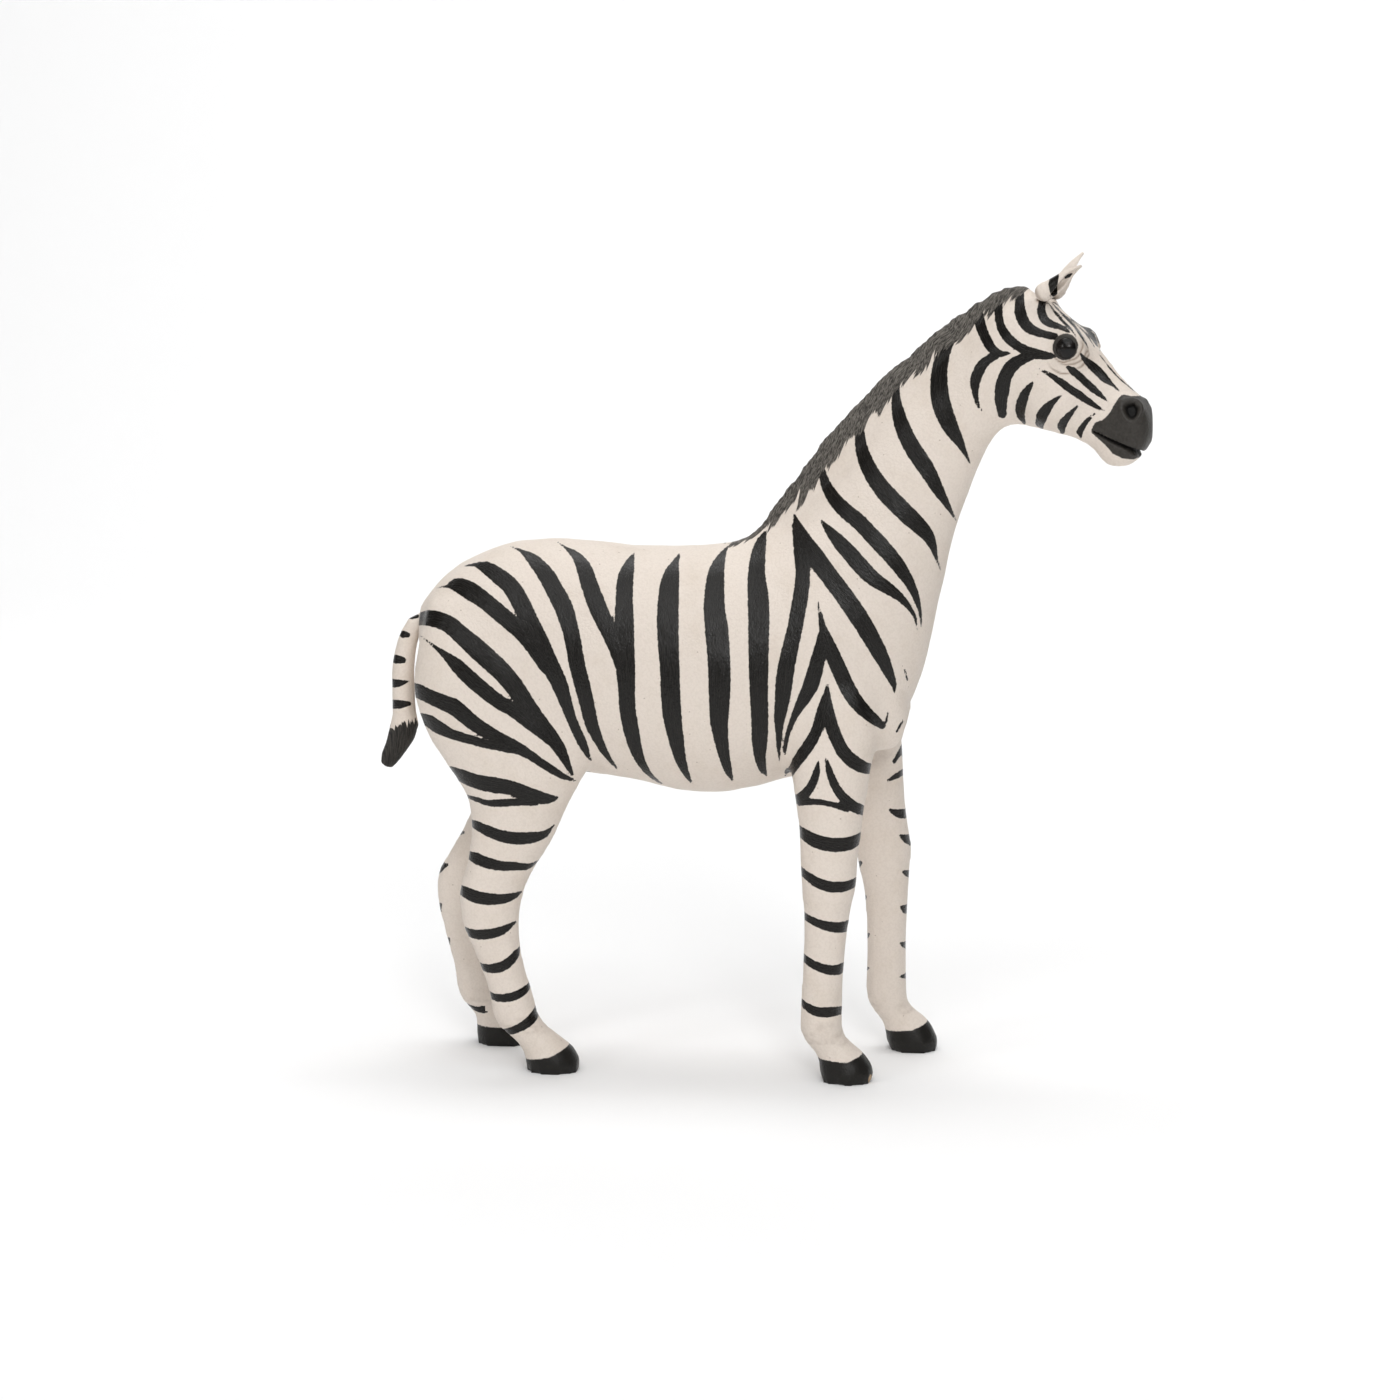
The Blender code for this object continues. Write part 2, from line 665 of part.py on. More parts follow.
def main():
    for item in list(bpy.data.objects):
        bpy.data.objects.remove(item)
    figure = bpy.data.collections.new("zebra_figurine")
    cutters = bpy.data.collections.new("cutters")
    bpy.context.scene.collection.children.link(figure)
    bpy.context.scene.collection.children.link(cutters)

    body = build_body(figure)
    flatten_soles(body)
    cut(body, build_mouth_cutter(cutters))
    cut(body, build_tail_socket(cutters))
    pieces = [body, build_tail(figure)]
    for side, word in ((-1, "right"), (1, "left")):
        cut(body, build_nostril_cutter(side, cutters))
        cut(body, as_cutter(build_eye("eye_socket", side, CLEARANCE, cutters, 16)))
        cut(body, build_ear_socket(side, cutters))
        pieces.append(build_eye("eye_" + word, side, 0, figure, 14))
        pieces.append(build_ear("ear_" + word, side, figure))
    bake(body)
    for piece in pieces:
        finish(piece)
    centre_on_floor(pieces)


main()
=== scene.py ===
"""Looks of the zebra figurine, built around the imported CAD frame.

The zebra faces +X and shows its right side, towards -Y, to the camera. Shapes that are laid out in the
side drawing are in millimetres from the drawing's own origin, which is found from the right eye's box.
The stripes are brush strokes in that drawing. Each point of the skin looks up its place in it along the
line of sight, and the left side is the mirror image of the right.
"""

import logging
import math
from dataclasses import dataclass, field
from enum import Enum

import bpy
import numpy as np
from mathutils import Matrix, Vector, noise

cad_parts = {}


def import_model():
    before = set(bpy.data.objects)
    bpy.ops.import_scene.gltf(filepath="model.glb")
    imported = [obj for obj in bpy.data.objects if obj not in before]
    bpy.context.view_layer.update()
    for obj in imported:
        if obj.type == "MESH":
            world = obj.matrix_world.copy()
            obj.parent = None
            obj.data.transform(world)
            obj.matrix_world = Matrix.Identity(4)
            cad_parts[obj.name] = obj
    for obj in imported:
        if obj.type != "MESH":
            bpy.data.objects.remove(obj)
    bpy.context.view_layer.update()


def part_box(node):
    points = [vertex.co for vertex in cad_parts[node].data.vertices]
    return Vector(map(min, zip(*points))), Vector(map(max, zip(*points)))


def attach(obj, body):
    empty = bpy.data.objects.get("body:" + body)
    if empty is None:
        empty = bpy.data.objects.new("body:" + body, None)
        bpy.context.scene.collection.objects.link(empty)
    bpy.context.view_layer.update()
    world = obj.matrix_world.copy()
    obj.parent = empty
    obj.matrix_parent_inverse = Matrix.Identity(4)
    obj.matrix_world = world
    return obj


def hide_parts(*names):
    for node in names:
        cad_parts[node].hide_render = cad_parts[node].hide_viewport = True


LOG = logging.getLogger("zebra")
MM = 0.001

# Places and lengths in the side drawing are in millimetres.
EYE_PLACE = (158.4, 15.2, 377.8)
EYE_RADIUS = 6.7
EAR_PLACE = (144.6, 10.9, 405.0)

# The head turns about an upright line, and the turn grows from start to end along a run up the neck.
HEAD_TURN = math.radians(-15)
TURN_PIVOT = 96.0
TURN_START = 205.0
TURN_END = 285.0
NECK_RUN = (0.90, 0.44)

CAMERA_PLACE = (153.15, -1790.14, 480.0)
CAMERA_TARGET = (-35.0, 0.0, 192.31)
CAMERA_LENS = 90.14
CAMERA_SENSOR = 36.0

# What a mesh keeps for a mark that is nowhere near, and a distance beyond any on the figure.
FAR_OUTSIDE = -20.0
BEYOND_ALL = 1e9

# The two steps of a round of smoothing: in, and a little further out again.
SMOOTHING_STEPS = (0.60, -0.63)


class Side(Enum):
    """The figure's right side, which the camera sees, and its left side."""

    RIGHT = -1
    LEFT = 1


class Finish(Enum):
    """The record's material slots."""

    SKIN = "painted_leather"
    TAIL = "tail_leather"
    EAR = "ear_leather"
    EYE = "eye_glass"


# Brush strokes of the trunk, neck and shoulder. Each point is x, z and the stroke's width there.
TRUNK_STROKES = {
    "rump_1": (
        (-186, 231.5, 5), (-183.5, 232, 5.5), (-177, 233.3, 8.6), (-168, 230.7, 9.3), (-161, 225.2, 9.8),
        (-152.5, 217.7, 10.9), (-145, 211, 11), (-138.5, 204.8, 10.6), (-132.5, 197.7, 10.2),
        (-127, 189.2, 10), (-121.5, 181.2, 9.6), (-115.5, 174, 8.6), (-109.5, 166.2, 7),
        (-105.5, 158.5, 4.6), (-102.2, 151.5, 1.8),
    ),
    "rump_2": (
        (-181.9, 223.8, 0.6), (-175, 218.6, 1.8), (-169, 213.9, 4.2), (-163, 208.6, 7.4),
        (-156, 201.8, 8.4), (-148.5, 195.4, 8.2), (-140, 189.1, 7.8), (-134, 186, 8),
        (-126, 180.6, 8.6), (-119, 174.8, 7.6), (-113, 169.4, 6),
    ),
    "thigh_1": (
        (-186, 195.5, 7), (-184, 194.7, 7.6), (-177, 191.6, 7.8), (-169, 188.2, 8.6), (-165, 186.7, 9.1),
        (-161, 183.6, 8.8), (-155, 178.6, 8.4), (-149, 174.6, 7.6), (-142, 170.6, 7.4),
        (-136, 167.1, 8), (-128, 163.7, 6), (-120, 158.4, 4.8), (-112.5, 153.7, 4.4),
        (-106.3, 150.2, 3.2), (-100.6, 148.3, 0.8),
    ),
    "thigh_2": (
        (-182, 180, 6), (-178, 178.8, 6.6), (-173.8, 176, 7.2), (-166, 172, 5.6), (-158.8, 170, 5.2),
        (-150, 167.5, 4.9), (-142, 165.9, 4.6), (-134, 164.4, 4.6),
    ),
    "flank_1": (
        (-173, 249.3, 0.6), (-168, 250.1, 1.6), (-162, 250.8, 7.6), (-156, 248.2, 9.8),
        (-148, 242.9, 9.2), (-140, 236.3, 9.2), (-132.5, 230, 8.8), (-126, 223.5, 8.6),
        (-120.5, 216, 8), (-116, 208.5, 7),
    ),
    "flank_2": (
        (-158, 260.9, 0.8), (-153, 261.6, 2), (-147, 260.2, 6.8), (-140.5, 256, 8.8), (-133.7, 250, 9.4),
        (-128.5, 241.3, 9.8), (-123.6, 231.2, 9.4), (-119, 221.5, 10), (-115.6, 213.4, 9.9),
        (-110.1, 202.5, 9.2), (-107.1, 195, 7.9), (-104.3, 186.3, 6.2), (-101, 177.5, 5.4),
        (-97, 168.8, 5.1), (-93.6, 161.3, 2.4), (-92, 159.2, 0.8),
    ),
    "flank_3": (
        (-134.4, 271.5, 0.6), (-129, 269.5, 1.6), (-122, 264.4, 6.6), (-115.6, 257, 9),
        (-111.6, 250, 9.4), (-106.6, 240.5, 10), (-103.3, 230, 8.9), (-101.1, 220, 8.7),
        (-99.2, 209, 8.6), (-96.8, 199.5, 8.6), (-94.3, 189, 7.9), (-91.9, 179, 7.3),
        (-88.3, 170, 5.3), (-83.5, 161.5, 3.2), (-77.8, 154.3, 0.7),
    ),
    "flank_4": (
        (-109, 273.8, 0.6), (-105, 271.1, 1.6), (-99.5, 266.8, 5), (-95.6, 260.8, 8), (-93, 253, 9),
        (-90, 244.2, 9.6), (-86.4, 235.6, 9.4), (-82.2, 227.2, 9), (-78.6, 219, 8.8), (-76.6, 211, 7),
    ),
    "flank_5": (
        (-69.3, 268.8, 0.8), (-71.5, 263.5, 5), (-73.9, 255, 8.6), (-74.5, 245, 9.1), (-74.6, 233, 10.2),
        (-74.4, 220, 10.6), (-74, 208, 10.2), (-73.4, 198, 9.2), (-73, 187, 8.7), (-71.1, 176, 8.4),
        (-68.7, 166, 6.9), (-65, 157.3, 4.4), (-60, 151.2, 2.3), (-54.5, 147.4, 0.5),
    ),
    "flank_6": (
        (-45, 269.5, 0.6), (-47.6, 264.5, 3.6), (-50.2, 256, 9), (-51.4, 246, 10.9), (-51.8, 233, 11.5),
        (-51.5, 220, 11), (-50.8, 208, 10.4), (-50.4, 196, 10.4), (-49.6, 184, 10), (-47.8, 173, 8.5),
        (-45.8, 163, 6.6), (-42.8, 154.5, 4), (-38.7, 147.3, 0.5),
    ),
    "flank_7": (
        (-20.5, 273, 0.6), (-23.5, 268, 4), (-26.3, 260, 8.2), (-27.4, 250, 10.2), (-27.5, 240, 11.2),
        (-26.4, 230, 12.3), (-25.4, 218, 12), (-24.8, 206, 11.8), (-24.8, 194, 11.2), (-25, 182, 9.8),
        (-23.8, 171, 7.6), (-21.8, 161, 5.6), (-19.8, 154, 3.6), (-17.3, 149.6, 0.6),
    ),
    "flank_8": (
        (-0.8, 281.4, 0.8), (-3, 276, 5), (-4.9, 268, 7.8), (-5.6, 258, 9.2), (-4.8, 247, 11),
        (-4.4, 236, 11.2), (-4.5, 222, 10.7), (-4.4, 208, 10.3), (-4.3, 196, 9.6), (-3.8, 184, 9.2),
        (-3.8, 172, 8.4), (-3.6, 163, 6.2), (-2, 156, 4), (-0.3, 153.6, 1.6),
    ),
    "shoulder_1": (
        (14.5, 284, 4), (16, 277, 6), (17.4, 269, 7.6), (18.3, 260.5, 7.8), (17.6, 250, 8),
        (15.9, 240, 8.2), (14.2, 230, 8.1), (12, 220.5, 8.6), (10, 211, 9), (8.8, 202, 9),
        (7.8, 192, 7.8), (6.6, 184, 6.1), (6.2, 175.5, 3.6), (6.2, 168, 2.4), (6.8, 160.5, 0.6),
    ),
    "shoulder_2": (
        (13.7, 289.8, 1), (15.4, 284, 4.6), (19.3, 276, 8), (25, 267.5, 9.8), (31.3, 259, 9.6),
        (37.3, 251.1, 9.6), (43, 243.3, 9.8), (48, 235.8, 9.8), (52.6, 228.3, 9.2), (56.8, 221, 8.6),
        (60.3, 214.2, 7.2), (63.3, 207.7, 5.4), (65.6, 202, 3.1), (66.1, 197.7, 0.5),
    ),
    "shoulder_3": (
        (26.3, 244.6, 0.8), (27.3, 238.5, 2.2), (28.8, 231, 4.2), (31, 224, 7), (34.2, 216.5, 8),
        (37.8, 208.5, 8.3), (41.3, 200.8, 8.3), (45.8, 193.4, 8), (51.5, 187.2, 6.8), (56.5, 183, 5.6),
        (59.8, 180.2, 3.4),
    ),
    "shoulder_4": (
        (28.6, 229, 4), (27.3, 220, 6.4), (25.6, 211.5, 7.8), (23.3, 203, 8.3), (20, 195.3, 7.2),
        (16.4, 189, 5), (13.4, 182.5, 3.4), (10.8, 175, 2.6), (9.5, 168, 2.1), (9.4, 164.3, 0.8),
    ),
    "shoulder_5": (
        (31.3, 201.7, 1.4), (31, 196, 4), (31.6, 189, 6), (33.1, 181.5, 7), (35.8, 174, 7.2),
        (39.3, 167, 7.2), (44, 162, 7.4), (49.5, 158.7, 6.9), (54.5, 157.6, 5.4), (59, 158, 3.4),
        (63, 159.5, 0.8),
    ),
    "shoulder_6": (
        (30.4, 194, 5), (28, 184.5, 6.2), (25.8, 177, 6), (22.5, 170.7, 6.3), (18.8, 165.2, 6.2),
        (15.3, 160, 5.5), (13.1, 155.5, 3.8), (12.2, 151.6, 1.4),
    ),
    "chest_1": ((71.2, 210, 1), (72.6, 204.4, 1.2)),
    "chest_2": ((63, 188, 1), (61.8, 182.2, 1.4)),
    "chest_3": ((70.6, 183.4, 1.2), (67.5, 177.6, 1.6)),
    "neck_1": (
        (26.8, 287.5, 0.8), (31, 282.6, 4), (36.5, 276.3, 7.2), (42.5, 269.9, 8.4), (48.5, 262.9, 8.6),
        (54.5, 257.2, 8), (61, 252.9, 6.8), (67.5, 248.3, 4.9), (73, 242.7, 3), (76.5, 236.5, 1.6),
        (77.5, 230.6, 0.5),
    ),
    "neck_2": (
        (27.4, 313, 4), (28.8, 308.5, 4.8), (31.2, 302.8, 6), (35.4, 296.6, 7.4), (41, 291.2, 8.2),
        (47, 286.3, 8.3), (53, 280.1, 8.4), (59, 273.7, 8.4), (65, 267, 7.9), (70, 260.3, 6.8),
        (74.3, 253.2, 5), (77.3, 246, 3.4), (79, 239.5, 1.8), (79.5, 232.6, 0.5),
    ),
    "neck_3": (
        (46.6, 337, 5), (47.2, 330, 5.4), (48.4, 323, 6.8), (51.4, 315, 8), (55.6, 307.8, 8.8),
        (60.6, 301.4, 9.4), (66, 295.8, 9.6), (71.8, 290.2, 9.4), (77.4, 285, 8.6), (82.2, 280, 6.8),
        (85, 274.5, 4.4), (86.8, 268.5, 2), (89.4, 261.2, 0.4),
    ),
    "neck_4": (
        (65.8, 358, 3.4), (65.5, 350.5, 4.6), (66.8, 342, 6.8), (69.6, 333.6, 8), (73.6, 325.5, 8.7),
        (78.6, 318, 8.8), (83.2, 311, 8), (87.2, 303.7, 6.2), (91, 297.3, 4), (94.2, 292, 2),
        (97.3, 286.8, 0.4),
    ),
    "neck_5": (
        (93.4, 381, 5), (90, 374, 6.4), (87.8, 366, 7.8), (87.3, 357, 9), (88.3, 348.5, 9.7),
        (91, 340.5, 9.2), (94.6, 333.4, 7.6), (98.6, 326.8, 4.5), (101.6, 321, 2.1),
        (103.8, 316.3, 0.4),
    ),
}

# Brush strokes of the head, in the same drawing.
HEAD_STROKES = {
    "cheek_1": (
        (106.6, 393, 6), (108.2, 386.5, 5.4), (111, 380, 5.2), (114.3, 375, 5), (118.8, 372.6, 3.4),
        (124.2, 373.7, 0.6),
    ),
    "cheek_2": (
        (115.5, 371.8, 4.2), (111, 369, 5), (107.8, 364.8, 5.8), (105.8, 359.5, 5.8), (105.6, 354.5, 3.8),
        (106.3, 350, 2.6), (107.5, 346.3, 1.7), (110, 343, 0.4),
    ),
    "cheek_3": (
        (116.8, 399, 4.6), (117.2, 391, 4.2), (119, 385, 4.7), (122.7, 380, 5.2), (127.5, 376.4, 4.6),
        (133, 373.6, 5.4), (139, 372.3, 4.9), (144, 371.8, 3.2), (147, 371.8, 0.8),
    ),
    "cheek_4": (
        (134, 371.9, 4.8), (128.5, 369.8, 6), (123.8, 366.3, 6.8), (120.7, 360.8, 7.2),
        (119.4, 354.5, 7.5), (118.9, 348, 6.3), (119.7, 342.3, 4.6),
    ),
    "crown_1": (
        (128, 407, 3.6), (127.7, 400, 4.6), (128, 393.5, 6), (130.5, 388, 6), (134.5, 384.7, 5),
        (139.5, 383, 4.2), (145.5, 381.6, 3.8),
    ),
    "crown_2": (
        (139.4, 401.5, 3.5), (138.6, 395, 4.4), (140, 390.5, 4.6), (143.5, 388, 3.8), (147.5, 386.8, 3),
        (150.5, 385.5, 2.6), (153, 383.7, 1),
    ),
    "jaw_1": (
        (135.3, 359, 1), (133, 356, 3.2), (130.5, 351.5, 5), (129, 346.5, 5.6), (128.9, 342, 4.4),
        (131, 337.6, 1.4),
    ),
    "jaw_2": (
        (149.2, 351.8, 1), (145.5, 348.8, 3), (142.3, 345.5, 5), (139.8, 341.6, 6), (138.8, 338, 5),
        (139.8, 335.2, 1.6),
    ),
    "jaw_3": (
        (157.5, 346.5, 1), (154.5, 343.2, 2.8), (151.8, 339.8, 4), (149.8, 336.5, 4.6),
        (150.2, 333.4, 2.4),
    ),
    "jaw_4": (
        (166.4, 342.8, 0.9), (163.2, 339.9, 2.2), (160.8, 336.8, 3), (159, 333.6, 3.6),
        (159.5, 331, 1.6),
    ),
    "nose_1": (
        (137.5, 365.3, 0.8), (142.5, 362.9, 2.2), (148.5, 359, 3.6), (154.5, 354.6, 4.2), (160, 351.2, 4),
        (165, 347.6, 3), (168.5, 345.6, 1.8), (171.2, 344.3, 0.5),
    ),
    "nose_2": (
        (152.3, 366.2, 2), (155, 364.3, 4), (159, 361, 4), (163.5, 356.9, 4), (168, 353.1, 3),
        (171.3, 350.3, 1.6), (173.2, 348.6, 0.4),
    ),
    "nose_3": (
        (158.8, 373, 1.2), (160.3, 370.7, 2.6), (164, 367.4, 4.4), (168, 363.9, 4.8), (171.3, 360.4, 4.2),
        (174.5, 357.9, 2), (178.9, 354.1, 0.6),
    ),
    "nose_ridge": ((168, 373, 0.4), (173, 366.6, 0.8), (178.5, 360.6, 0.8), (186.5, 354.2, 0.4)),
    "brow_1": (
        (142.3, 398.4, 0.5), (146, 393.4, 1.4), (150, 388.8, 1.5), (153.8, 385.2, 1.2),
        (156.6, 381, 0.4),
    ),
    "brow_2": (
        (143.6, 398.8, 0.5), (149.5, 392.7, 1.2), (155, 387.3, 1.4), (159.6, 381, 1.2),
        (162.6, 375.6, 0.3),
    ),
    "brow_3": ((151.6, 391.6, 0.3), (156.6, 388, 0.9), (161.2, 383.2, 1), (165.6, 376.6, 0.3)),
    "brow_4": ((161.5, 386.4, 0.6), (165, 383, 1.9), (167.6, 379.4, 1.4), (168.3, 374.6, 0.3)),
}

# Rings of the legs, drawn on the near legs. They run past the edges of a leg, on to its inner face.
LEG_STROKES = {
    "fore_v_back": (
        (26.8, 160.8, 1.2), (26, 155.5, 3.8), (24, 149.5, 4.5), (20.8, 144.5, 5.2), (17.4, 141.2, 6),
        (14, 141, 4),
    ),
    "fore_v_front": (
        (30.8, 163, 1.2), (32.3, 157, 3.6), (34.8, 150, 4.5), (38.3, 144.2, 5.1), (43, 139.3, 6),
        (48, 136.3, 6), (52.3, 135.6, 5), (57, 137, 4), (61, 139, 1.5),
    ),
    "fore_v_base": (
        (17.5, 139.4, 4.4), (24, 139.6, 3.4), (31, 139.1, 3.1), (37, 137.6, 3.2), (42, 136.4, 4),
    ),
    "fore_1": (
        (14.5, 128, 1.5), (18, 123.8, 5), (24, 119.6, 7.2), (31, 117.4, 7.6), (38, 117, 7.6),
        (44, 118.2, 7), (48.2, 120.8, 5.2), (52, 123.5, 3.6), (55, 125.5, 1.4),
    ),
    "fore_2": (
        (15.5, 106.5, 1.8), (19.5, 101.8, 3.8), (25.5, 97.4, 5.4), (32, 94.8, 6), (39, 94.6, 5.8),
        (44, 96, 4.8), (47.8, 98.6, 3.8), (51, 101.5, 1.4),
    ),
    "fore_3": (
        (17, 82.5, 1.6), (20.5, 78.6, 3.4), (27, 75, 4.5), (33, 73.4, 5.6), (39, 73, 6),
        (43.5, 74.5, 5.4), (47, 76.8, 2.4),
    ),
    "fore_4": (
        (17.5, 59.6, 1.4), (21, 55.4, 3.8), (26.5, 52, 4.8), (32.5, 50.2, 5.4), (37.5, 50.2, 5.6),
        (40.8, 52.3, 4.4), (44, 54.8, 2),
    ),
    "fore_5": (
        (17, 35, 1.4), (20.8, 30.6, 3.8), (26, 27.6, 5.2), (32, 27.2, 5.8), (37, 28, 5),
        (40.2, 28.8, 4.2), (43.5, 29.8, 1.8),
    ),
    "hind_1": (
        (-166.5, 152.4, 5), (-160.5, 149.7, 7), (-152.5, 146.8, 8), (-144, 145.3, 8.7), (-135.5, 144, 8),
        (-127, 141.3, 7.8), (-119, 138.8, 7), (-113, 138.6, 4), (-109.3, 139.3, 0.8),
    ),
    "hind_1_low": (
        (-160, 139.6, 1.5), (-153, 137.4, 2.7), (-147, 135.6, 3.4), (-139.5, 135.8, 4.4),
        (-130, 136.5, 4.2), (-122, 137, 5),
    ),
    "hind_2": (
        (-158, 126.3, 1.6), (-153.5, 123.7, 4.8), (-147.5, 120.7, 6), (-140, 118, 6.6),
        (-131.5, 117, 6.8), (-123.5, 117.6, 6), (-117, 119.6, 3.8), (-113.8, 122.6, 1.6),
        (-111.5, 125, 0.5),
    ),
    "hind_3": (
        (-160, 109, 2), (-155, 106.4, 5.8), (-148, 103.5, 6.2), (-140.5, 102, 5.5), (-133, 102, 4.6),
        (-127, 101.8, 3.6), (-122.5, 103.8, 1.6), (-119.5, 106, 0.5),
    ),
    "hind_4": (
        (-165.5, 91.4, 2), (-161, 88.2, 5.6), (-154, 85, 7), (-146.5, 83.9, 6.6), (-139.5, 84.3, 5.5),
        (-133.8, 85.9, 3.7), (-129.6, 88.4, 0.9),
    ),
    "hind_5": (
        (-163, 69.8, 1.2), (-159.3, 66.4, 3.8), (-153.5, 64.6, 5.4), (-146.5, 65.2, 5.6),
        (-140.5, 67, 4.9), (-136.3, 69.6, 3), (-133, 72, 1.2),
    ),
    "hind_6": (
        (-155.5, 50.8, 1), (-151.3, 47.4, 3.4), (-146, 46.3, 5.2), (-140.5, 47.6, 5.7), (-136, 50.6, 5),
        (-132.8, 54.8, 3.8), (-130, 58.8, 1.4),
    ),
    "hind_7": (
        (-149, 34.3, 1.2), (-145.3, 31.2, 3.8), (-140, 30.4, 4.6), (-134, 31.6, 4.8), (-129.5, 34.2, 4.4),
        (-126.3, 37.3, 2.9), (-123.5, 41, 1),
    ),
    "hind_8": (
        (-147.5, 14.4, 1.2), (-143.3, 12.3, 3.2), (-138, 12.1, 3.8), (-132.5, 14, 4.5), (-127.5, 16.9, 5),
        (-123.8, 20.8, 4.8), (-122, 25, 3.1), (-120.5, 29, 1),
    ),
}

ALL_STROKES = {**TRUNK_STROKES, **HEAD_STROKES, **LEG_STROKES}

# Ends of the left side's strokes that show past the chest, on the far fore leg and past the brow.
LEFT_STROKES = {
    "chest": ((72.4, 174, 1.4), (70.4, 168.5, 3), (66, 161.4, 1.8)),
    "fore_tick": ((73, 157.6, 3.4), (68, 154.4, 3), (63, 151.6, 1.4)),
    "brow": ((160.7, 386, 1.4), (164.5, 382.4, 2.6), (166.6, 376.8, 1.4)),
}

# Dashes down the tail.
TAIL_STROKES = {
    "dash_1": ((-188.5, 234, 2.4), (-186, 234, 3.2), (-183.4, 234.2, 2)),
    "dash_2": ((-193.6, 225.4, 2), (-191, 224.5, 4), (-188.8, 224.2, 3)),
    "dash_3": ((-198, 211.6, 3), (-195, 211.3, 5), (-191.6, 210.8, 3.6)),
    "dash_4": ((-198.4, 198.8, 4.4), (-194, 198.5, 4.2), (-188.4, 199.7, 0.6)),
    "dash_5": ((-198.4, 187.5, 4.8), (-194, 187.4, 4.9), (-188.6, 187.8, 2.6)),
}

# The dark band at an ear's root and the spot above it.
EAR_STROKES = {
    "band": ((145.2, 412, 4.2), (144.2, 408, 4.8), (144.8, 403.4, 3.6)),
    "spot": ((150.6, 411.3, 1.4), (152, 412.3, 2.0), (153.6, 413.2, 1.0)),
}

# The lower edge of the mane, from the withers to the forelock.
MANE_EDGE = (
    (-19.5, 274), (-10, 277), (0, 281.3), (8, 289.4), (16, 296), (25, 307), (34, 317.3), (44, 328.5),
    (53, 340), (62, 349.5), (70, 357.5), (80, 364.3), (88, 375), (98, 379.6), (108, 388), (117, 396),
    (126, 402.6), (136.5, 406.8),
)
# The rest of the mane's outline, past its top, and a place that its hair's line starts from.
MANE_TOP = ((138, 430), (60, 430), (-60, 330), (-26, 275.6))
BEHIND_MANE = (-46, 265)

# The outline of the dark muzzle and mouth. Its last two points lie in front of the figure.
MUZZLE_OUTLINE = (
    (191, 352.4), (186.4, 351.8), (180, 352.7), (178.2, 350.9), (175.9, 347.3), (174.1, 343.6),
    (172.3, 341.4), (170, 339.5), (166.8, 338.6), (165.3, 336.4), (164.5, 333.2), (166.4, 331.6),
    (171.8, 326.9), (176, 322.3), (181, 320), (186.4, 319.6), (189, 320.6), (193, 321), (212, 318),
    (212, 352),
)

MOUTH_LINE = ((165.8, 333.4), (171, 330.6), (178, 327.4), (185, 324.4), (191, 322.4), (200, 321))
NOSTRIL_PLACE = (190.6, 12.4, 347.4)

# Each row of a leg: height, centre x, centre y, half length and half width.
FORE_RIGHT = (
    (182, 37, -26.5, 22.5, 15), (150, 35.2, -29, 18.8, 14.2), (118, 35, -31, 15, 12.6),
    (97, 34.5, -32, 13.4, 11.6), (70, 32.8, -32.6, 10.9, 9.8), (40, 31.4, -33, 10.7, 9.8),
    (28, 31.4, -33, 11, 10.4), (18.6, 36.2, -33, 9.6, 9.4), (7, 44.2, -33, 13.8, 12.2),
    (0, 45.2, -33, 14.3, 12.8),
)
FORE_LEFT = (
    (182, 44, 27, 23, 15), (148, 51, 30, 19, 14.2), (118, 57.8, 32, 15.4, 12.6),
    (98, 60, 33.2, 13.4, 11.6), (70, 61.3, 34.2, 10.9, 9.8), (41, 61.4, 35, 10.8, 9.8),
    (29, 61.8, 35, 11, 10.4), (19.4, 66.8, 35, 9.6, 9.4), (8, 74.6, 35, 13.2, 12.2),
    (0, 76, 35, 14, 12.8),
)
HIND_RIGHT = (
    (177, -134, -25, 40, 20.5), (146, -126, -27, 28, 17), (121, -130.5, -28.5, 21, 14),
    (98, -140, -29, 17.2, 12.2), (76, -141.2, -29, 14.4, 10.8), (52, -134.7, -28.5, 11.4, 9.8),
    (28.6, -128.4, -28, 11.4, 10.4), (18.8, -120.4, -28, 9.6, 9.4), (7, -110, -28, 14, 12.2),
    (0, -109, -28, 14.4, 12.8),
)
HIND_LEFT = (
    (177, -134, 25, 39.5, 20.5), (146, -131.5, 26.5, 25.5, 17), (120, -143.5, 27, 19.8, 14),
    (95, -160, 27, 17.8, 12.2), (74, -164.2, 27, 14.6, 10.8), (50, -161.2, 26.4, 11.4, 9.8),
    (28.5, -156.8, 26, 11.4, 10.4), (20, -151.2, 26, 9.8, 9.4), (8, -145, 26, 13.8, 12.2),
    (0, -144.2, 26, 14.2, 12.8),
)
# Heights on the left fore leg, and the heights on the right one whose bars they take.
LEFT_BAR_HEIGHTS = (0, 39.6, 57.1, 76.7, 96.2, 114.6, 127.5, 148.0, 185)
RIGHT_BAR_HEIGHTS = (0, 36.3, 60.9, 81.6, 104.9, 128.1, 139.9, 159.2, 185)
# Heights where a leg meets the trunk and where it is free, and the x between fore and hind legs.
LEG_MEETS_TRUNK = 185.0
LEG_IS_FREE = 150.0
SHOULDER_X = -40.0
# How far from a leg's centre, in half lengths, a point is wholly the leg's, and no longer the leg's.
LEG_INSIDE = 1.12
LEG_OUTSIDE = 1.4
# How much higher the left side's stripes reach near the back, and where the inner faces' bars end.
LEFT_TOPS_RISE = 4.5
FORE_BARS_END = 134.0
HIND_BARS_END = 150.0


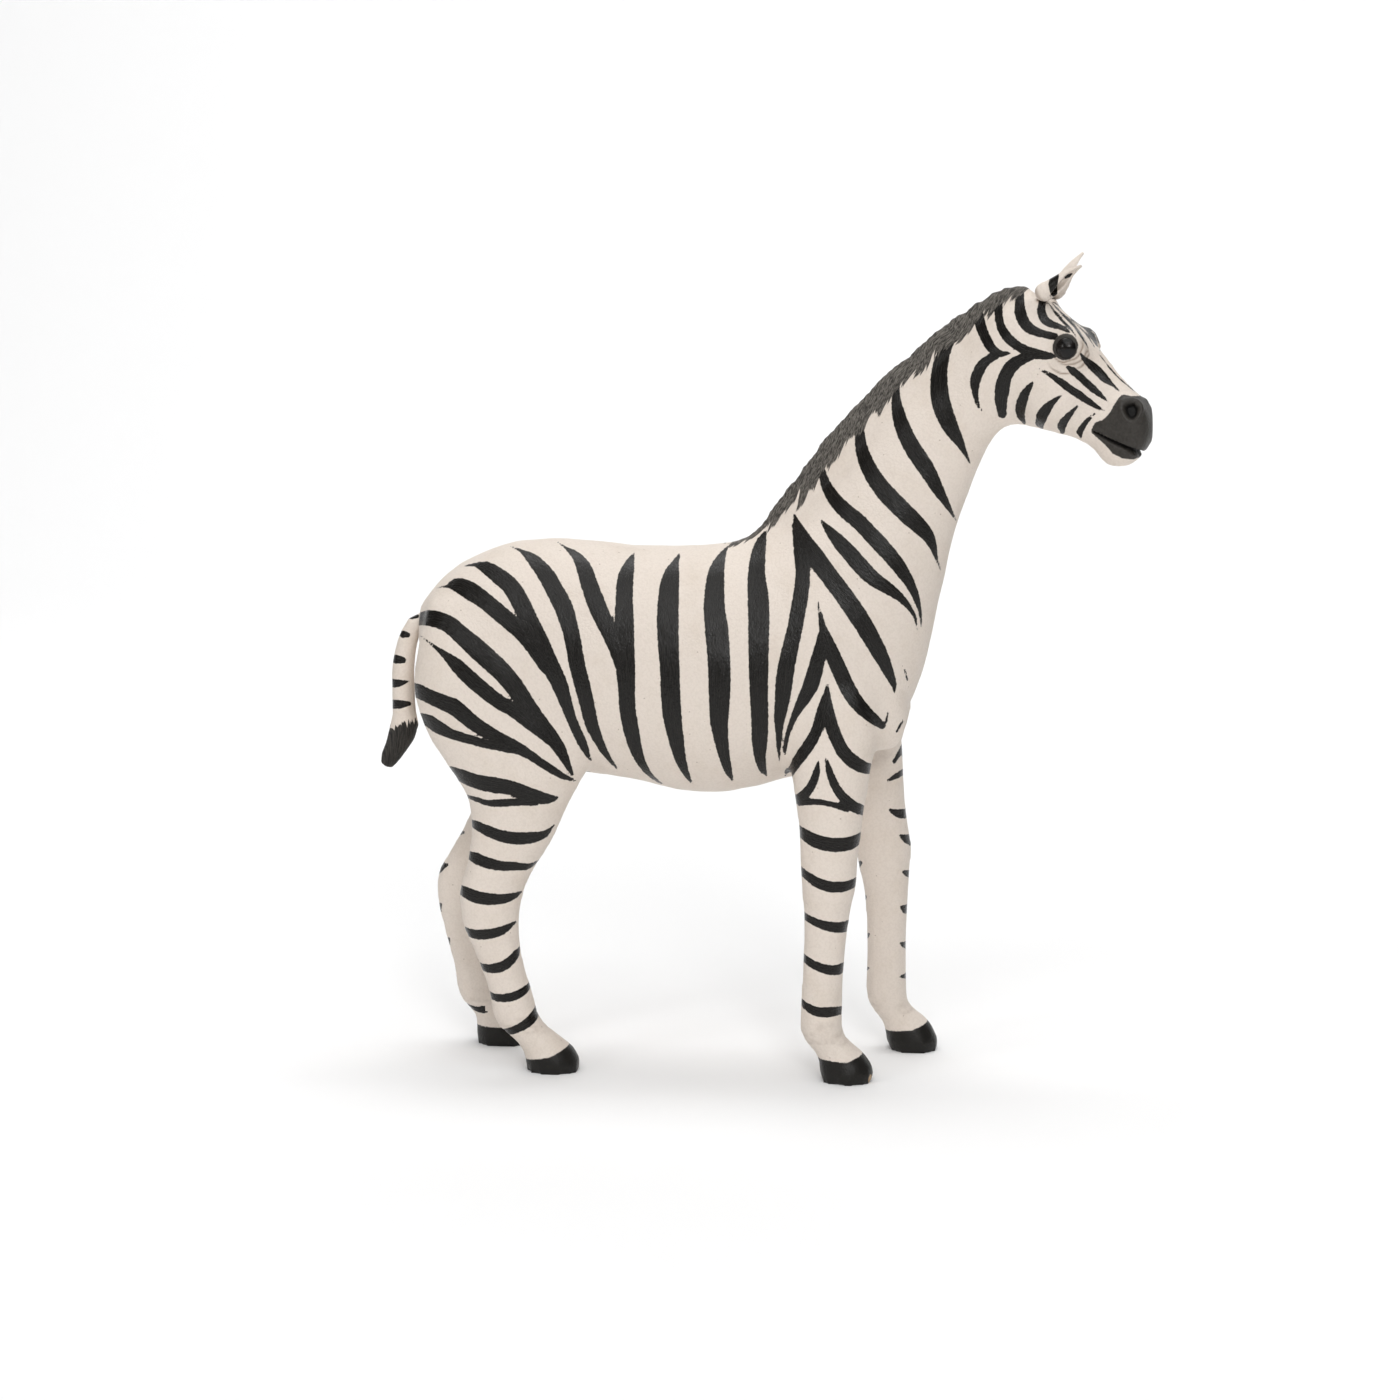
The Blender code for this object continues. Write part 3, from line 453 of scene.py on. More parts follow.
def eased(value: np.ndarray, start: float, end: float) -> np.ndarray:
    """Rises smoothly from 0 at start to 1 at end.

    Args:
        value: The numbers to ease.
        start: Where the rise starts.
        end: Where it ends, which may be below start.

    Returns:
        The share reached at each number.
    """
    share = np.clip((value - start) / (end - start), 0, 1)
    return share * share * (3 - 2 * share)


def smooth_curve(points: tuple, step: float) -> np.ndarray:
    """Rows of numbers with more rows between them, on a smooth curve.

    Args:
        points: The rows that the curve goes through.
        step: About how far apart the new rows lie, by their first two numbers.

    Returns:
        The finer rows as an array.
    """
    rows = np.array(points, dtype=float)
    finer = []
    for i in range(len(rows) - 1):
        before, start = rows[max(i - 1, 0)], rows[i]
        end, after = rows[i + 1], rows[min(i + 2, len(rows) - 1)]
        count = max(1, round(math.dist(start[:2], end[:2]) / step))
        for j in range(count):
            t = j / count
            finer.append(
                (2 * t**3 - 3 * t**2 + 1) * start
                + (t**3 - 2 * t**2 + t) * (end - before) / 2
                + (3 * t**2 - 2 * t**3) * end
                + (t**3 - t**2) * (after - start) / 2
            )
    finer.append(rows[-1])
    return np.array(finer)


def nearest_on_piece(places: np.ndarray, start: np.ndarray, end: np.ndarray) -> tuple:
    """The nearest place on a straight piece of a line, for each place.

    Args:
        places: Places in the drawing, one row each.
        start: The piece's start, x and z first.
        end: Its end.

    Returns:
        The share of the piece's length reached, the gap to each place, the piece's run and its length.
    """
    run = end[:2] - start[:2]
    length = math.hypot(*run)
    share = np.clip(((places - start[:2]) @ run) / length**2, 0, 1)
    gap = places - (start[:2] + share[:, None] * run)
    return share, gap, run, length


def nearest_on_line(places: np.ndarray, line: np.ndarray) -> tuple:
    """The nearest place on a line of points, for each place.

    Args:
        places: Places in the drawing, one row each.
        line: The line's points, x and z first.

    Returns:
        The distance to the line and the length along it.
    """
    distance = np.full(len(places), BEYOND_ALL)
    along = np.zeros(len(places))
    reached = 0.0
    for start, end in zip(line, line[1:]):
        share, gap, _, length = nearest_on_piece(places, start, end)
        here = np.hypot(gap[:, 0], gap[:, 1])
        closer = here < distance
        distance[closer] = here[closer]
        along[closer] = reached + share[closer] * length
        reached += length
    return distance, along


def inside(places: np.ndarray, outline: np.ndarray) -> np.ndarray:
    """Whether each place lies inside a closed outline.

    Args:
        places: Places in the drawing.
        outline: The outline's corners.

    Returns:
        True for each place inside it.
    """
    within = np.zeros(len(places), dtype=bool)
    for start, end in zip(outline, np.roll(outline, -1, axis=0)):
        crosses = (start[1] > places[:, 1]) != (end[1] > places[:, 1])
        # No line crosses a level edge, so any rise but zero will do for one.
        rise = (end[1] - start[1]) or 1.0
        crossing = (end[0] - start[0]) * (places[:, 1] - start[1]) / rise + start[0]
        within ^= crosses & (places[:, 0] < crossing)
    return within


def area_depth(places: np.ndarray, outline: np.ndarray) -> np.ndarray:
    """How deep each place lies inside a closed outline, below zero outside it.

    Args:
        places: Places in the drawing.
        outline: The outline's corners.

    Returns:
        The depth in millimetres.
    """
    distance, _ = nearest_on_line(places, np.vstack([outline, outline[:1]]))
    return np.where(inside(places, outline), distance, -distance)


@dataclass(frozen=True)
class Marks:
    """Brush strokes as fields over a set of places.

    Attributes:
        depth: How deep each place lies in the paint, below zero outside it, in millimetres.
        lines: Length along the nearest stroke, distance across it and the stroke's own number.
    """

    depth: np.ndarray
    lines: np.ndarray


@dataclass
class Drawing:
    """The side drawing: where its places lie in the frame, and where a place of the frame lies in it.

    Attributes:
        shift: The drawing's origin in the frame.
        stroke_step: How far apart the points of a stroke's smooth curve lie.
        stroke_reach: How far outside a stroke its depth is worked out.
        turn_rounds: How often a point's turn is worked out anew when the head is turned back.
        back_heights: Heights between which the left side's stripes come to reach higher.
        behind_withers: The x from which they do so, and the x from which they do so fully.
        ridge: How far off the middle of the back they do so fully.
        wrap: Half the width over which a leg's outer face gives way to its inner one.
        wrap_heights: Heights between which the bars come to run on to the inner face.
        facing_in: How far a face looks inward where the plain inner side starts and where it is full.
        plain_rise: The height over which the bars give way to the plain inner side.
        plain_top: The height up to which the inner side may be plain.
    """

    shift: np.ndarray = field(default_factory=lambda: np.zeros(3))
    stroke_step: float = 2.5
    stroke_reach: float = 9.0
    turn_rounds: int = 6
    back_heights: tuple = (215.0, 255.0)
    behind_withers: tuple = (-30.0, -42.0)
    ridge: float = 7.0
    wrap: float = 2.5
    wrap_heights: tuple = (166.0, 150.0)
    facing_in: tuple = (0.05, 0.45)
    plain_rise: float = 9.0
    plain_top: float = 205.0

    def __post_init__(self) -> None:
        """Finds the drawing's origin from the box of the right eye."""
        low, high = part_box("eye_right")
        middle = (np.array(low) + np.array(high)) / 2
        x, y, z = EYE_PLACE
        self.shift = middle / MM - self.turned(np.array([[x, -y, z]]))[0]

    def turned(self, points: np.ndarray) -> np.ndarray:
        """Points of the straight figure, with its head and neck turned."""
        return self._turn(points, self._share(points) * HEAD_TURN)

    def unturned(self, points: np.ndarray) -> np.ndarray:
        """Points of the figure, with its head and neck turned back to look straight ahead.

        Args:
            points: Points of the figure.

        Returns:
            Where they lie on the straight figure.
        """
        straight = points
        for _ in range(self.turn_rounds):
            straight = self._turn(points, -self._share(straight) * HEAD_TURN)
        return straight

    def _share(self, points: np.ndarray) -> np.ndarray:
        """How much of the head's turn each point of the straight figure takes."""
        return eased(points[:, 0] * NECK_RUN[0] + points[:, 2] * NECK_RUN[1], TURN_START, TURN_END)

    def _turn(self, points: np.ndarray, angles: np.ndarray) -> np.ndarray:
        """Turns points about the upright line through the turn's pivot.

        Args:
            points: The points.
            angles: Each point's own angle, in radians.

        Returns:
            The turned points.
        """
        x, y = points[:, 0] - TURN_PIVOT, points[:, 1]
        cos, sin = np.cos(angles), np.sin(angles)
        return np.stack([x * cos - y * sin + TURN_PIVOT, x * sin + y * cos, points[:, 2]], axis=1)

    def twin(self, place: tuple, side: Side) -> np.ndarray:
        """The place of one of a pair on the turned head, given on the straight head's left side."""
        x, y, z = place
        return self.turned(np.array([[x, side.value * y, z]]))[0]

    def to_drawing(self, points: np.ndarray) -> np.ndarray:
        """Points of the frame, in metres, as millimetres from the drawing's origin."""
        return points / MM - self.shift

    def to_frame(self, point: tuple) -> Vector:
        """A point of the drawing, in millimetres, as a place in the frame in metres."""
        return Vector((np.array(point, dtype=float) + self.shift) * MM)

    def on_right_side(self, points: np.ndarray) -> np.ndarray:
        """Each point, or its mirror image on the right side where it lies on the left.

        Args:
            points: Points of the figure.

        Returns:
            The points to look up in the drawing.
        """
        straight = self.unturned(points)
        mirrored = self.turned(straight * np.array([1, -1, 1]))
        left = straight[:, 1] > 0
        moved = np.where(left[:, None], mirrored, points)
        on_back = eased(points[:, 2], *self.back_heights) * eased(points[:, 0], *self.behind_withers)
        moved[:, 2] -= LEFT_TOPS_RISE * eased(straight[:, 1], 0, self.ridge) * on_back
        for right_leg, left_leg, fore in ((FORE_RIGHT, FORE_LEFT, True), (HIND_RIGHT, HIND_LEFT, False)):
            near = (points[:, 2] < LEG_MEETS_TRUNK) & ((points[:, 0] > SHOULDER_X) == fore)
            laid, share = self._on_leg(points[near], moved[near], right_leg, left_leg)
            moved[near] += (laid - moved[near]) * share[:, None]
        return moved

    def _on_leg(self, points: np.ndarray, moved: np.ndarray, right_leg: tuple, left_leg: tuple) -> tuple:
        """Lays the left leg on the right one, and unrolls the inner face past the leg's edges.

        Args:
            points: Points of the figure near the legs.
            moved: The same points, mirrored to the right side.
            right_leg: Rows of the right leg.
            left_leg: Rows of the left leg.

        Returns:
            The points' places on the right leg's outer face, and how far each point belongs to a leg.
        """
        height = points[:, 2]
        right = self._leg_at(right_leg, height)
        left = self._leg_at(left_leg, height)
        is_left = points[:, 1] > 0
        own = np.where(is_left, left, right)
        belongs = eased(np.abs(points[:, 0] - own[0]) / own[2], LEG_OUTSIDE, LEG_INSIDE)
        if left_leg is FORE_LEFT:
            height = np.where(is_left, np.interp(height, LEFT_BAR_HEIGHTS, RIGHT_BAR_HEIGHTS), height)
            right = self._leg_at(right_leg, height)
        over = np.stack([
            right[0] + (points[:, 0] - left[0]) * right[2] / left[2],
            right[1] - (points[:, 1] - left[1]) * right[3] / left[3],
            height,
        ], axis=1)
        share = (eased(height, LEG_MEETS_TRUNK, LEG_IS_FREE) * is_left)[:, None]
        laid = moved * (1 - share) + over * share
        edge = right[0] + np.where(laid[:, 0] > right[0], right[2], -right[2])
        unrolled = np.stack([2 * edge - laid[:, 0], right[1], height], axis=1)
        inner = eased(laid[:, 1] - right[1], -self.wrap, self.wrap) * eased(height, *self.wrap_heights)
        return laid * (1 - inner[:, None]) + unrolled * inner[:, None], belongs

    def faces_inward(self, points: np.ndarray, normals: np.ndarray) -> np.ndarray:
        """How far each point lies on the plain inner side above a free leg.

        Args:
            points: Points of the figure.
            normals: Their normals.

        Returns:
            The share, from 0 to 1.
        """
        inward = eased(-normals[:, 1] * np.sign(points[:, 1]), *self.facing_in)
        low_end = np.where(points[:, 0] > SHOULDER_X, FORE_BARS_END, HIND_BARS_END)
        return inward * eased(points[:, 2] - low_end, 0, self.plain_rise) * (points[:, 2] < self.plain_top)

    def _leg_at(self, leg: tuple, height: np.ndarray) -> np.ndarray:
        """Centre x, centre y, half length and half width of a leg at these heights."""
        rows = np.array(leg[::-1], dtype=float)
        return np.array([np.interp(height, rows[:, 0], rows[:, i]) for i in range(1, 5)])

    def seen(self, points: np.ndarray) -> np.ndarray:
        """Where points on the right side appear in the drawing, along the camera's lines of sight.

        Args:
            points: Points on the right side.

        Returns:
            Their places in the drawing.
        """
        place = np.array(CAMERA_PLACE)
        reach = -place[1] / (points[:, 1] - place[1])
        return (place + (points - place) * reach[:, None])[:, [0, 2]]

    def marks(self, places: np.ndarray, strokes: dict) -> Marks:
        """Lays brush strokes over places of the drawing.

        Args:
            places: Places in the drawing.
            strokes: Named strokes, each a row of x, z and width.

        Returns:
            The strokes' depth and lines at each place.
        """
        depth = np.full(len(places), -self.stroke_reach)
        lines = np.zeros((len(places), 3))
        for number, stroke in enumerate(strokes.values()):
            line = smooth_curve(stroke, self.stroke_step)
            margin = self.stroke_reach + line[:, 2].max() / 2
            low, high = line[:, :2].min(axis=0) - margin, line[:, :2].max(axis=0) + margin
            close = np.nonzero(((places > low) & (places < high)).all(axis=1))[0]
            reached = 0.0
            for start, end in zip(line, line[1:]):
                share, gap, run, length = nearest_on_piece(places[close], start, end)
                here = np.abs(start[2] + share * (end[2] - start[2])) / 2 - np.hypot(gap[:, 0], gap[:, 1])
                better = here > depth[close]
                chosen = close[better]
                depth[chosen] = here[better]
                lines[chosen, 0] = reached + share[better] * length
                lines[chosen, 1] = (run[0] * gap[better, 1] - run[1] * gap[better, 0]) / length
                lines[chosen, 2] = number
                reached += length
        return Marks(depth, lines)


def noise_at(points: np.ndarray, spacing: float, seed: float) -> np.ndarray:
    """Smooth seeded noise between about -1 and 1.

    Args:
        points: Points in millimetres.
        spacing: About how far apart the noise's bumps lie.
        seed: Moves the noise, so that two of them differ.

    Returns:
        One number for each point.
    """
    return np.array([noise.noise(Vector(point)) for point in points / spacing + seed])


def pick(*things: bpy.types.Object) -> None:
    """Deselects everything, then selects these objects and makes the first one active.

    Args:
        *things: The objects.
    """
    bpy.ops.object.select_all(action="DESELECT")
    for thing in things:
        thing.select_set(True)
    bpy.context.view_layer.objects.active = things[0]


def cad_copy(node: str, name: str) -> bpy.types.Object:
    """Copies a CAD node and merges its loose triangles.

    Args:
        node: The CAD node's name.
        name: The copy's name.

    Returns:
        The copy, as one closed mesh.
    """
    source = bpy.data.objects[node]
    copy = bpy.data.objects.new(name, source.data.copy())
    copy.data.name = name
    copy.data.materials.clear()
    bpy.context.collection.objects.link(copy)
    pick(copy)
    bpy.ops.object.mode_set(mode="EDIT")
    bpy.ops.mesh.select_all(action="SELECT")
    bpy.ops.mesh.remove_doubles(threshold=1e-6)
    bpy.ops.object.mode_set(mode="OBJECT")
    return copy


def remesh(thing: bpy.types.Object, voxel: float) -> None:
    """Rebuilds a mesh as one skin of even squares.

    Args:
        thing: The object, which may hold several closed shapes that overlap.
        voxel: The squares' size in millimetres.
    """
    modifier = thing.modifiers.new("Even squares", "REMESH")
    modifier.mode = "VOXEL"
    modifier.voxel_size = voxel * MM
    modifier.use_smooth_shade = True
    pick(thing)
    bpy.ops.object.modifier_apply(modifier=modifier.name)


def vectors_of(thing: bpy.types.Object, name: str) -> np.ndarray:
    """Reads a vector of each point of a mesh.

    Args:
        thing: The object.
        name: Which vector, such as co for the place.

    Returns:
        The vectors, one row each.
    """
    values = np.empty(len(thing.data.vertices) * 3)
    thing.data.vertices.foreach_get(name, values)
    return values.reshape(-1, 3)


def points_of(thing: bpy.types.Object) -> np.ndarray:
    """The places of a mesh's points, in metres."""
    return vectors_of(thing, "co")


def normals_of(thing: bpy.types.Object) -> np.ndarray:
    """The directions a mesh's points face."""
    return vectors_of(thing, "normal")


def move_points(thing: bpy.types.Object, points: np.ndarray) -> None:
    """Puts a mesh's points at these places."""
    thing.data.vertices.foreach_set("co", points.ravel())
    thing.data.update()


def store(thing: bpy.types.Object, name: str, values: np.ndarray) -> None:
    """Keeps a number or a vector for each point of a mesh, for its material to read.

    Args:
        thing: The object.
        name: The name that the material reads it by.
        values: The numbers, or the vectors in rows.
    """
    if values.ndim == 1:
        thing.data.attributes.new(name, "FLOAT", "POINT").data.foreach_set("value", values)
    else:
        thing.data.attributes.new(name, "FLOAT_VECTOR", "POINT").data.foreach_set("vector", values.ravel())


def smooth_out(thing: bpy.types.Object, rounds: int, keep: np.ndarray) -> None:
    """Smooths a mesh in and out again, so that small facets go and the form keeps its size.

    Args:
        thing: The object.
        rounds: How many times.
        keep: For each point, 1 where it may move and 0 where it stays.
    """
    count = len(thing.data.edges)
    ends = np.empty(count * 2, dtype=int)
    thing.data.edges.foreach_get("vertices", ends)
    ends = ends.reshape(-1, 2)
    points = points_of(thing)
    valence = np.bincount(ends.ravel(), minlength=len(points))[:, None]
    for _ in range(rounds):
        for share in SMOOTHING_STEPS:
            total = np.stack([
                np.bincount(ends[:, 0], points[ends[:, 1], axis], len(points))
                + np.bincount(ends[:, 1], points[ends[:, 0], axis], len(points))
                for axis in range(3)
            ], axis=1)
            points = points + (total / valence - points) * share * keep[:, None]
    move_points(thing, points)


def spread_in_faces(thing: bpy.types.Object, values: np.ndarray) -> tuple:
    """The lowest and highest of a number at each face's corners.

    Args:
        thing: The object.
        values: The number at each point.

    Returns:
        The lowest and the highest for each face.
    """
    corners = np.empty(len(thing.data.loops), dtype=int)
    thing.data.loops.foreach_get("vertex_index", corners)
    starts = np.empty(len(thing.data.polygons), dtype=int)
    thing.data.polygons.foreach_get("loop_start", starts)
    at_corners = values[corners]
    return np.minimum.reduceat(at_corners, starts), np.maximum.reduceat(at_corners, starts)


def refine(thing: bpy.types.Object, wanted: np.ndarray) -> None:
    """Halves squares both ways.

    Args:
        thing: The object.
        wanted: True for each face that takes part.
    """
    pick(thing)
    bpy.ops.object.mode_set(mode="EDIT")
    bpy.ops.mesh.select_mode(type="FACE")
    bpy.ops.mesh.select_all(action="DESELECT")
    bpy.ops.object.mode_set(mode="OBJECT")
    thing.data.polygons.foreach_set("select", wanted)
    bpy.ops.object.mode_set(mode="EDIT")
    bpy.ops.mesh.subdivide(number_cuts=1)
    bpy.ops.object.mode_set(mode="OBJECT")


class Shader:
    """A node tree and short ways to wire it."""

    def __init__(self, tree: bpy.types.NodeTree) -> None:
        """Starts on an empty tree."""
        self.tree = tree
        tree.nodes.clear()

    def add(self, kind: str, inputs: dict | None = None, **settings: object) -> bpy.types.Node:
        """Adds a node.

        Args:
            kind: The node's type.
            inputs: Values or sockets for its inputs, by name or number.
            **settings: Its other properties.

        Returns:
            The node.
        """
        node = self.tree.nodes.new(kind)
        for name, value in settings.items():
            setattr(node, name, value)
        for name, value in (inputs or {}).items():
            if isinstance(value, bpy.types.NodeSocket):
                self.tree.links.new(value, node.inputs[name])
            else:
                node.inputs[name].default_value = value
        return node

    def math(self, operation: str, *values: object) -> bpy.types.NodeSocket:
        """The result of a sum on numbers or sockets."""
        return self.add("ShaderNodeMath", dict(enumerate(values)), operation=operation).outputs[0]

    def mix(self, share: object, low: object, high: object) -> bpy.types.NodeSocket:
        """A number between two, by a share."""
        return self.add("ShaderNodeMix", {0: share, 2: low, 3: high}, data_type="FLOAT").outputs[0]

    def blend(self, share: object, low: object, high: object) -> bpy.types.NodeSocket:
        """A colour between two, by a share."""
        return self.add("ShaderNodeMix", {0: share, 6: low, 7: high}, data_type="RGBA").outputs[2]

    def step(
        self, value: object, start: float, end: float, low: float = 0, high: float = 1,
    ) -> bpy.types.NodeSocket:
        """Eases a value from one number at start to another at end.

        Args:
            value: The value or its socket.
            start: Where the change starts.
            end: Where it ends.
            low: The result up to the start.
            high: The result from the end on.

        Returns:
            The result's socket.
        """
        inputs = {0: value, 1: start, 2: end, 3: low, 4: high}
        return self.add("ShaderNodeMapRange", inputs, interpolation_type="SMOOTHSTEP").outputs[0]

    def stretch(self, vector: object, scale: tuple) -> bpy.types.NodeSocket:
        """A vector times another, axis by axis."""
        return self.add("ShaderNodeVectorMath", {0: vector, 1: scale}, operation="MULTIPLY").outputs[0]

    def noise(
        self, vector: object, scale: float, detail: float = 3, roughness: float = 0.5,
    ) -> bpy.types.NodeSocket:
        """Soft noise between 0 and 1, at a scale per unit of the vector."""
        inputs = {"Vector": vector, "Scale": scale, "Detail": detail, "Roughness": roughness}
        return self.add("ShaderNodeTexNoise", inputs).outputs["Fac"]

    def wander(self, vector: object, scale: float, detail: float, roughness: float) -> bpy.types.NodeSocket:
        """Soft noise about zero, between -0.5 and 0.5."""
        return self.math("SUBTRACT", self.noise(vector, scale, detail, roughness), 0.5)

    def plus(self, value: object, other: object, times: float) -> bpy.types.NodeSocket:
        """A value plus another one times a number."""
        return self.math("ADD", value, self.math("MULTIPLY", other, times))

    def cells(self, vector: object, scale: object, feature: str = "F1") -> bpy.types.NodeSocket:
        """The distance to the nearest of scattered cell centres, sharp or smoothed."""
        inputs = {"Vector": vector, "Scale": scale}
        return self.add("ShaderNodeTexVoronoi", inputs, feature=feature).outputs["Distance"]

    def attribute(self, name: str, output: str = "Fac") -> bpy.types.NodeSocket:
        """Reads what a mesh keeps for each point."""
        return self.add("ShaderNodeAttribute", attribute_name=name).outputs[output]

    def place(self) -> bpy.types.NodeSocket:
        """The place on the piece, in millimetres."""
        return self.stretch(self.add("ShaderNodeTexCoord").outputs["Object"], (1 / MM,) * 3)


class Effect:
    """A shader node group that several materials use."""

    def __init__(self, name: str, inputs: dict, outputs: dict) -> None:
        """Makes the group with its named inputs and outputs.

        Args:
            name: The group's name.
            inputs: Each input's name and socket type.
            outputs: Each output's name and socket type.
        """
        self.tree = bpy.data.node_groups.new(name, "ShaderNodeTree")
        self.shader = Shader(self.tree)
        for socket, kind in inputs.items():
            self.tree.interface.new_socket(socket, in_out="INPUT", socket_type=kind)
        for socket, kind in outputs.items():
            self.tree.interface.new_socket(socket, in_out="OUTPUT", socket_type=kind)
        self.given = self.shader.add("NodeGroupInput").outputs
        self.results = self.shader.add("NodeGroupOutput").inputs

    def give(self, **values: bpy.types.NodeSocket) -> None:
        """Links results to the group's outputs, whose spaces are underscores here."""
        for name, socket in values.items():
            self.tree.links.new(socket, self.results[name.replace("_", " ")])

    def use(self, shader: Shader, **values: object) -> bpy.types.bpy_prop_collection:
        """Places the group in another tree.

        Args:
            shader: The tree to place it in.
            **values: Values or sockets for its inputs, whose spaces are underscores here.

        Returns:
            Its output sockets by name.
        """
        inputs = {name.replace("_", " "): value for name, value in values.items()}
        return shader.add("ShaderNodeGroup", inputs, node_tree=self.tree).outputs


FLOAT = "NodeSocketFloat"
VECTOR = "NodeSocketVector"


def leather_grain() -> Effect:
    """The pebbled grain of thin leather.

    Returns:
        A group that puts out the grain's height, its soft folds, its darker patches and its specks.
    """
    effect = Effect(
        "Leather grain",
        {"Vector": VECTOR, "Pebbles per mm": FLOAT},
        {"Height": FLOAT, "Folds": FLOAT, "Patches": FLOAT, "Specks": FLOAT},
    )
    shader = effect.shader
    place = effect.given["Vector"]
    wander = shader.add("ShaderNodeTexNoise", {"Vector": place, "Scale": 0.6, "Detail": 2}).outputs["Color"]
    warped = shader.add("ShaderNodeVectorMath", {0: place, 1: wander}, operation="ADD").outputs[0]
    pebbles = shader.cells(warped, effect.given["Pebbles per mm"], "SMOOTH_F1")
    pores = shader.noise(place, scale=2.4, detail=4, roughness=0.6)
    height = shader.math("SUBTRACT", shader.math("MULTIPLY", pores, 0.7), pebbles)
    folds = shader.noise(shader.stretch(place, (1, 1, 0.7)), scale=0.16, detail=4, roughness=0.55)
    patches = shader.noise(place, scale=0.045, detail=5, roughness=0.65)
    scatter = shader.plus(shader.cells(place, 0.14), shader.noise(place, 1.5), 0.12)
    specks = shader.step(scatter, start=0.125, end=0.09)
    effect.give(Height=height, Folds=folds, Patches=patches, Specks=specks)
    return effect


def brush_marks() -> Effect:
    """Hand-painted brush strokes with ragged edges and dry streaks along them.

    Returns:
        A group that puts out where the paint lies, its streaks and its thickness.
    """
    effect = Effect(
        "Brush marks",
        {"Depth": FLOAT, "Lines": VECTOR, "Vector": VECTOR, "Raggedness": FLOAT},
        {"Paint": FLOAT, "Streaks": FLOAT, "Thickness": FLOAT},
    )
    shader = effect.shader
    place, depth = effect.given["Vector"], effect.given["Depth"]
    wobble = shader.wander(place, scale=0.5, detail=2, roughness=0.5)
    fray = shader.wander(place, scale=2.2, detail=3, roughness=0.65)
    bristles = shader.noise(shader.stretch(effect.given["Lines"], (0.16, 2.6, 7.3)), 1, 3, 0.6)
    ragged = shader.plus(shader.math("MULTIPLY", wobble, 0.9), fray, 0.75)
    edge = shader.math("ADD", depth, shader.math("MULTIPLY", ragged, effect.given["Raggedness"]))
    paint = shader.step(edge, start=-0.12, end=0.22)
    thickness = shader.step(edge, start=-0.1, end=1.4)
    effect.give(Paint=paint, Streaks=bristles, Thickness=thickness)
    return effect


@dataclass(frozen=True)
class Palette:
    """The figurine's colours, in linear light."""

    leather: tuple = (0.73, 0.652, 0.580, 1)
    leather_shade: tuple = (0.62, 0.53, 0.44, 1)
    # Painted shade in the creases and the grain's pits, and also the colour of the leather's own dark
    # specks.
    crease: tuple = (0.22, 0.15, 0.10, 1)
    paint: tuple = (0.0065, 0.0055, 0.0045, 1)
    paint_dry: tuple = (0.021, 0.0185, 0.015, 1)
    muzzle: tuple = (0.013, 0.011, 0.009, 1)
    muzzle_light: tuple = (0.058, 0.052, 0.045, 1)
    hoof: tuple = (0.010, 0.009, 0.0075, 1)
    # Painted shade deep in the mouth and the nostrils.
    hollow: tuple = (0.003, 0.0025, 0.002, 1)
    bare: tuple = (0.42, 0.30, 0.19, 1)
    glass: tuple = (0.003, 0.0028, 0.003, 1)
    glass_brown: tuple = (0.009, 0.006, 0.0045, 1)


@dataclass(frozen=True)
class Coat:
    """How the painted leather looks on one kind of piece.

    Attributes:
        slot: Its slot in the record.
        pebbles: Pebbles of the grain in a millimetre.
        grain: The grain's height.
        folds: The soft folds' height.
        raggedness: How ragged the strokes' edges are.
        leather_roughness: The roughness of bare leather.
        paint_roughness: The roughness of glossy paint.
        dry_roughness: The roughness of paint where the brush was dry.
        gloss: The strength of the shine.
        hair: The colour between the hairs.
        hair_light: The colour of the hairs.
        hair_roughness: The roughness between the hairs and of the hairs.
        paint_height: The height of the paint's layer.
        bristle_height: The height of the bristles' traces in it.
        strand_height: The height of the hairs.
    """

    slot: Finish
    pebbles: float = 0.95
    grain: float = 0.14
    folds: float = 0.35
    raggedness: float = 1.0
    leather_roughness: float = 0.56
    paint_roughness: float = 0.24
    dry_roughness: float = 0.42
    gloss: float = 0.27
    hair: tuple = (0.024, 0.021, 0.018, 1)
    hair_light: tuple = (0.20, 0.182, 0.16, 1)
    hair_roughness: tuple = (0.48, 0.66)
    paint_height: float = 0.05
    bristle_height: float = 0.05
    strand_height: float = 0.7


BODY_COAT = Coat(Finish.SKIN)
TAIL_COAT = Coat(
    Finish.TAIL, raggedness=0.8, hair=(0.008, 0.007, 0.006, 1), hair_light=(0.055, 0.049, 0.042, 1),
)
EAR_COAT = Coat(Finish.EAR, pebbles=1.3, grain=0.07, folds=0.2, raggedness=0.6)


@dataclass(frozen=True)
class Patch:
    """A patch of another colour, whose depth the mesh keeps.

    Attributes:
        name: The depth's name on the mesh.
        fray: How far its edge frays, in millimetres.
        start: The depth from which it shows.
        end: The depth from which it covers all.
        roughness: Its roughness.
    """

    name: str
    fray: float
    start: float
    end: float
    roughness: float


MUZZLE = Patch("muzzle", 1.2, -0.15, 0.3, 0.42)
HOOF = Patch("hoof", 1.6, -0.2, 0.3, 0.36)
BARE = Patch("bare", 2.4, -0.1, 0.3, 0.7)
# Painted shade in the mouth and the nostrils, darker than the muzzle's paint.
HOLLOW_SHADE = Patch("hollow", 0.0, 0.15, 0.85, 0.6)


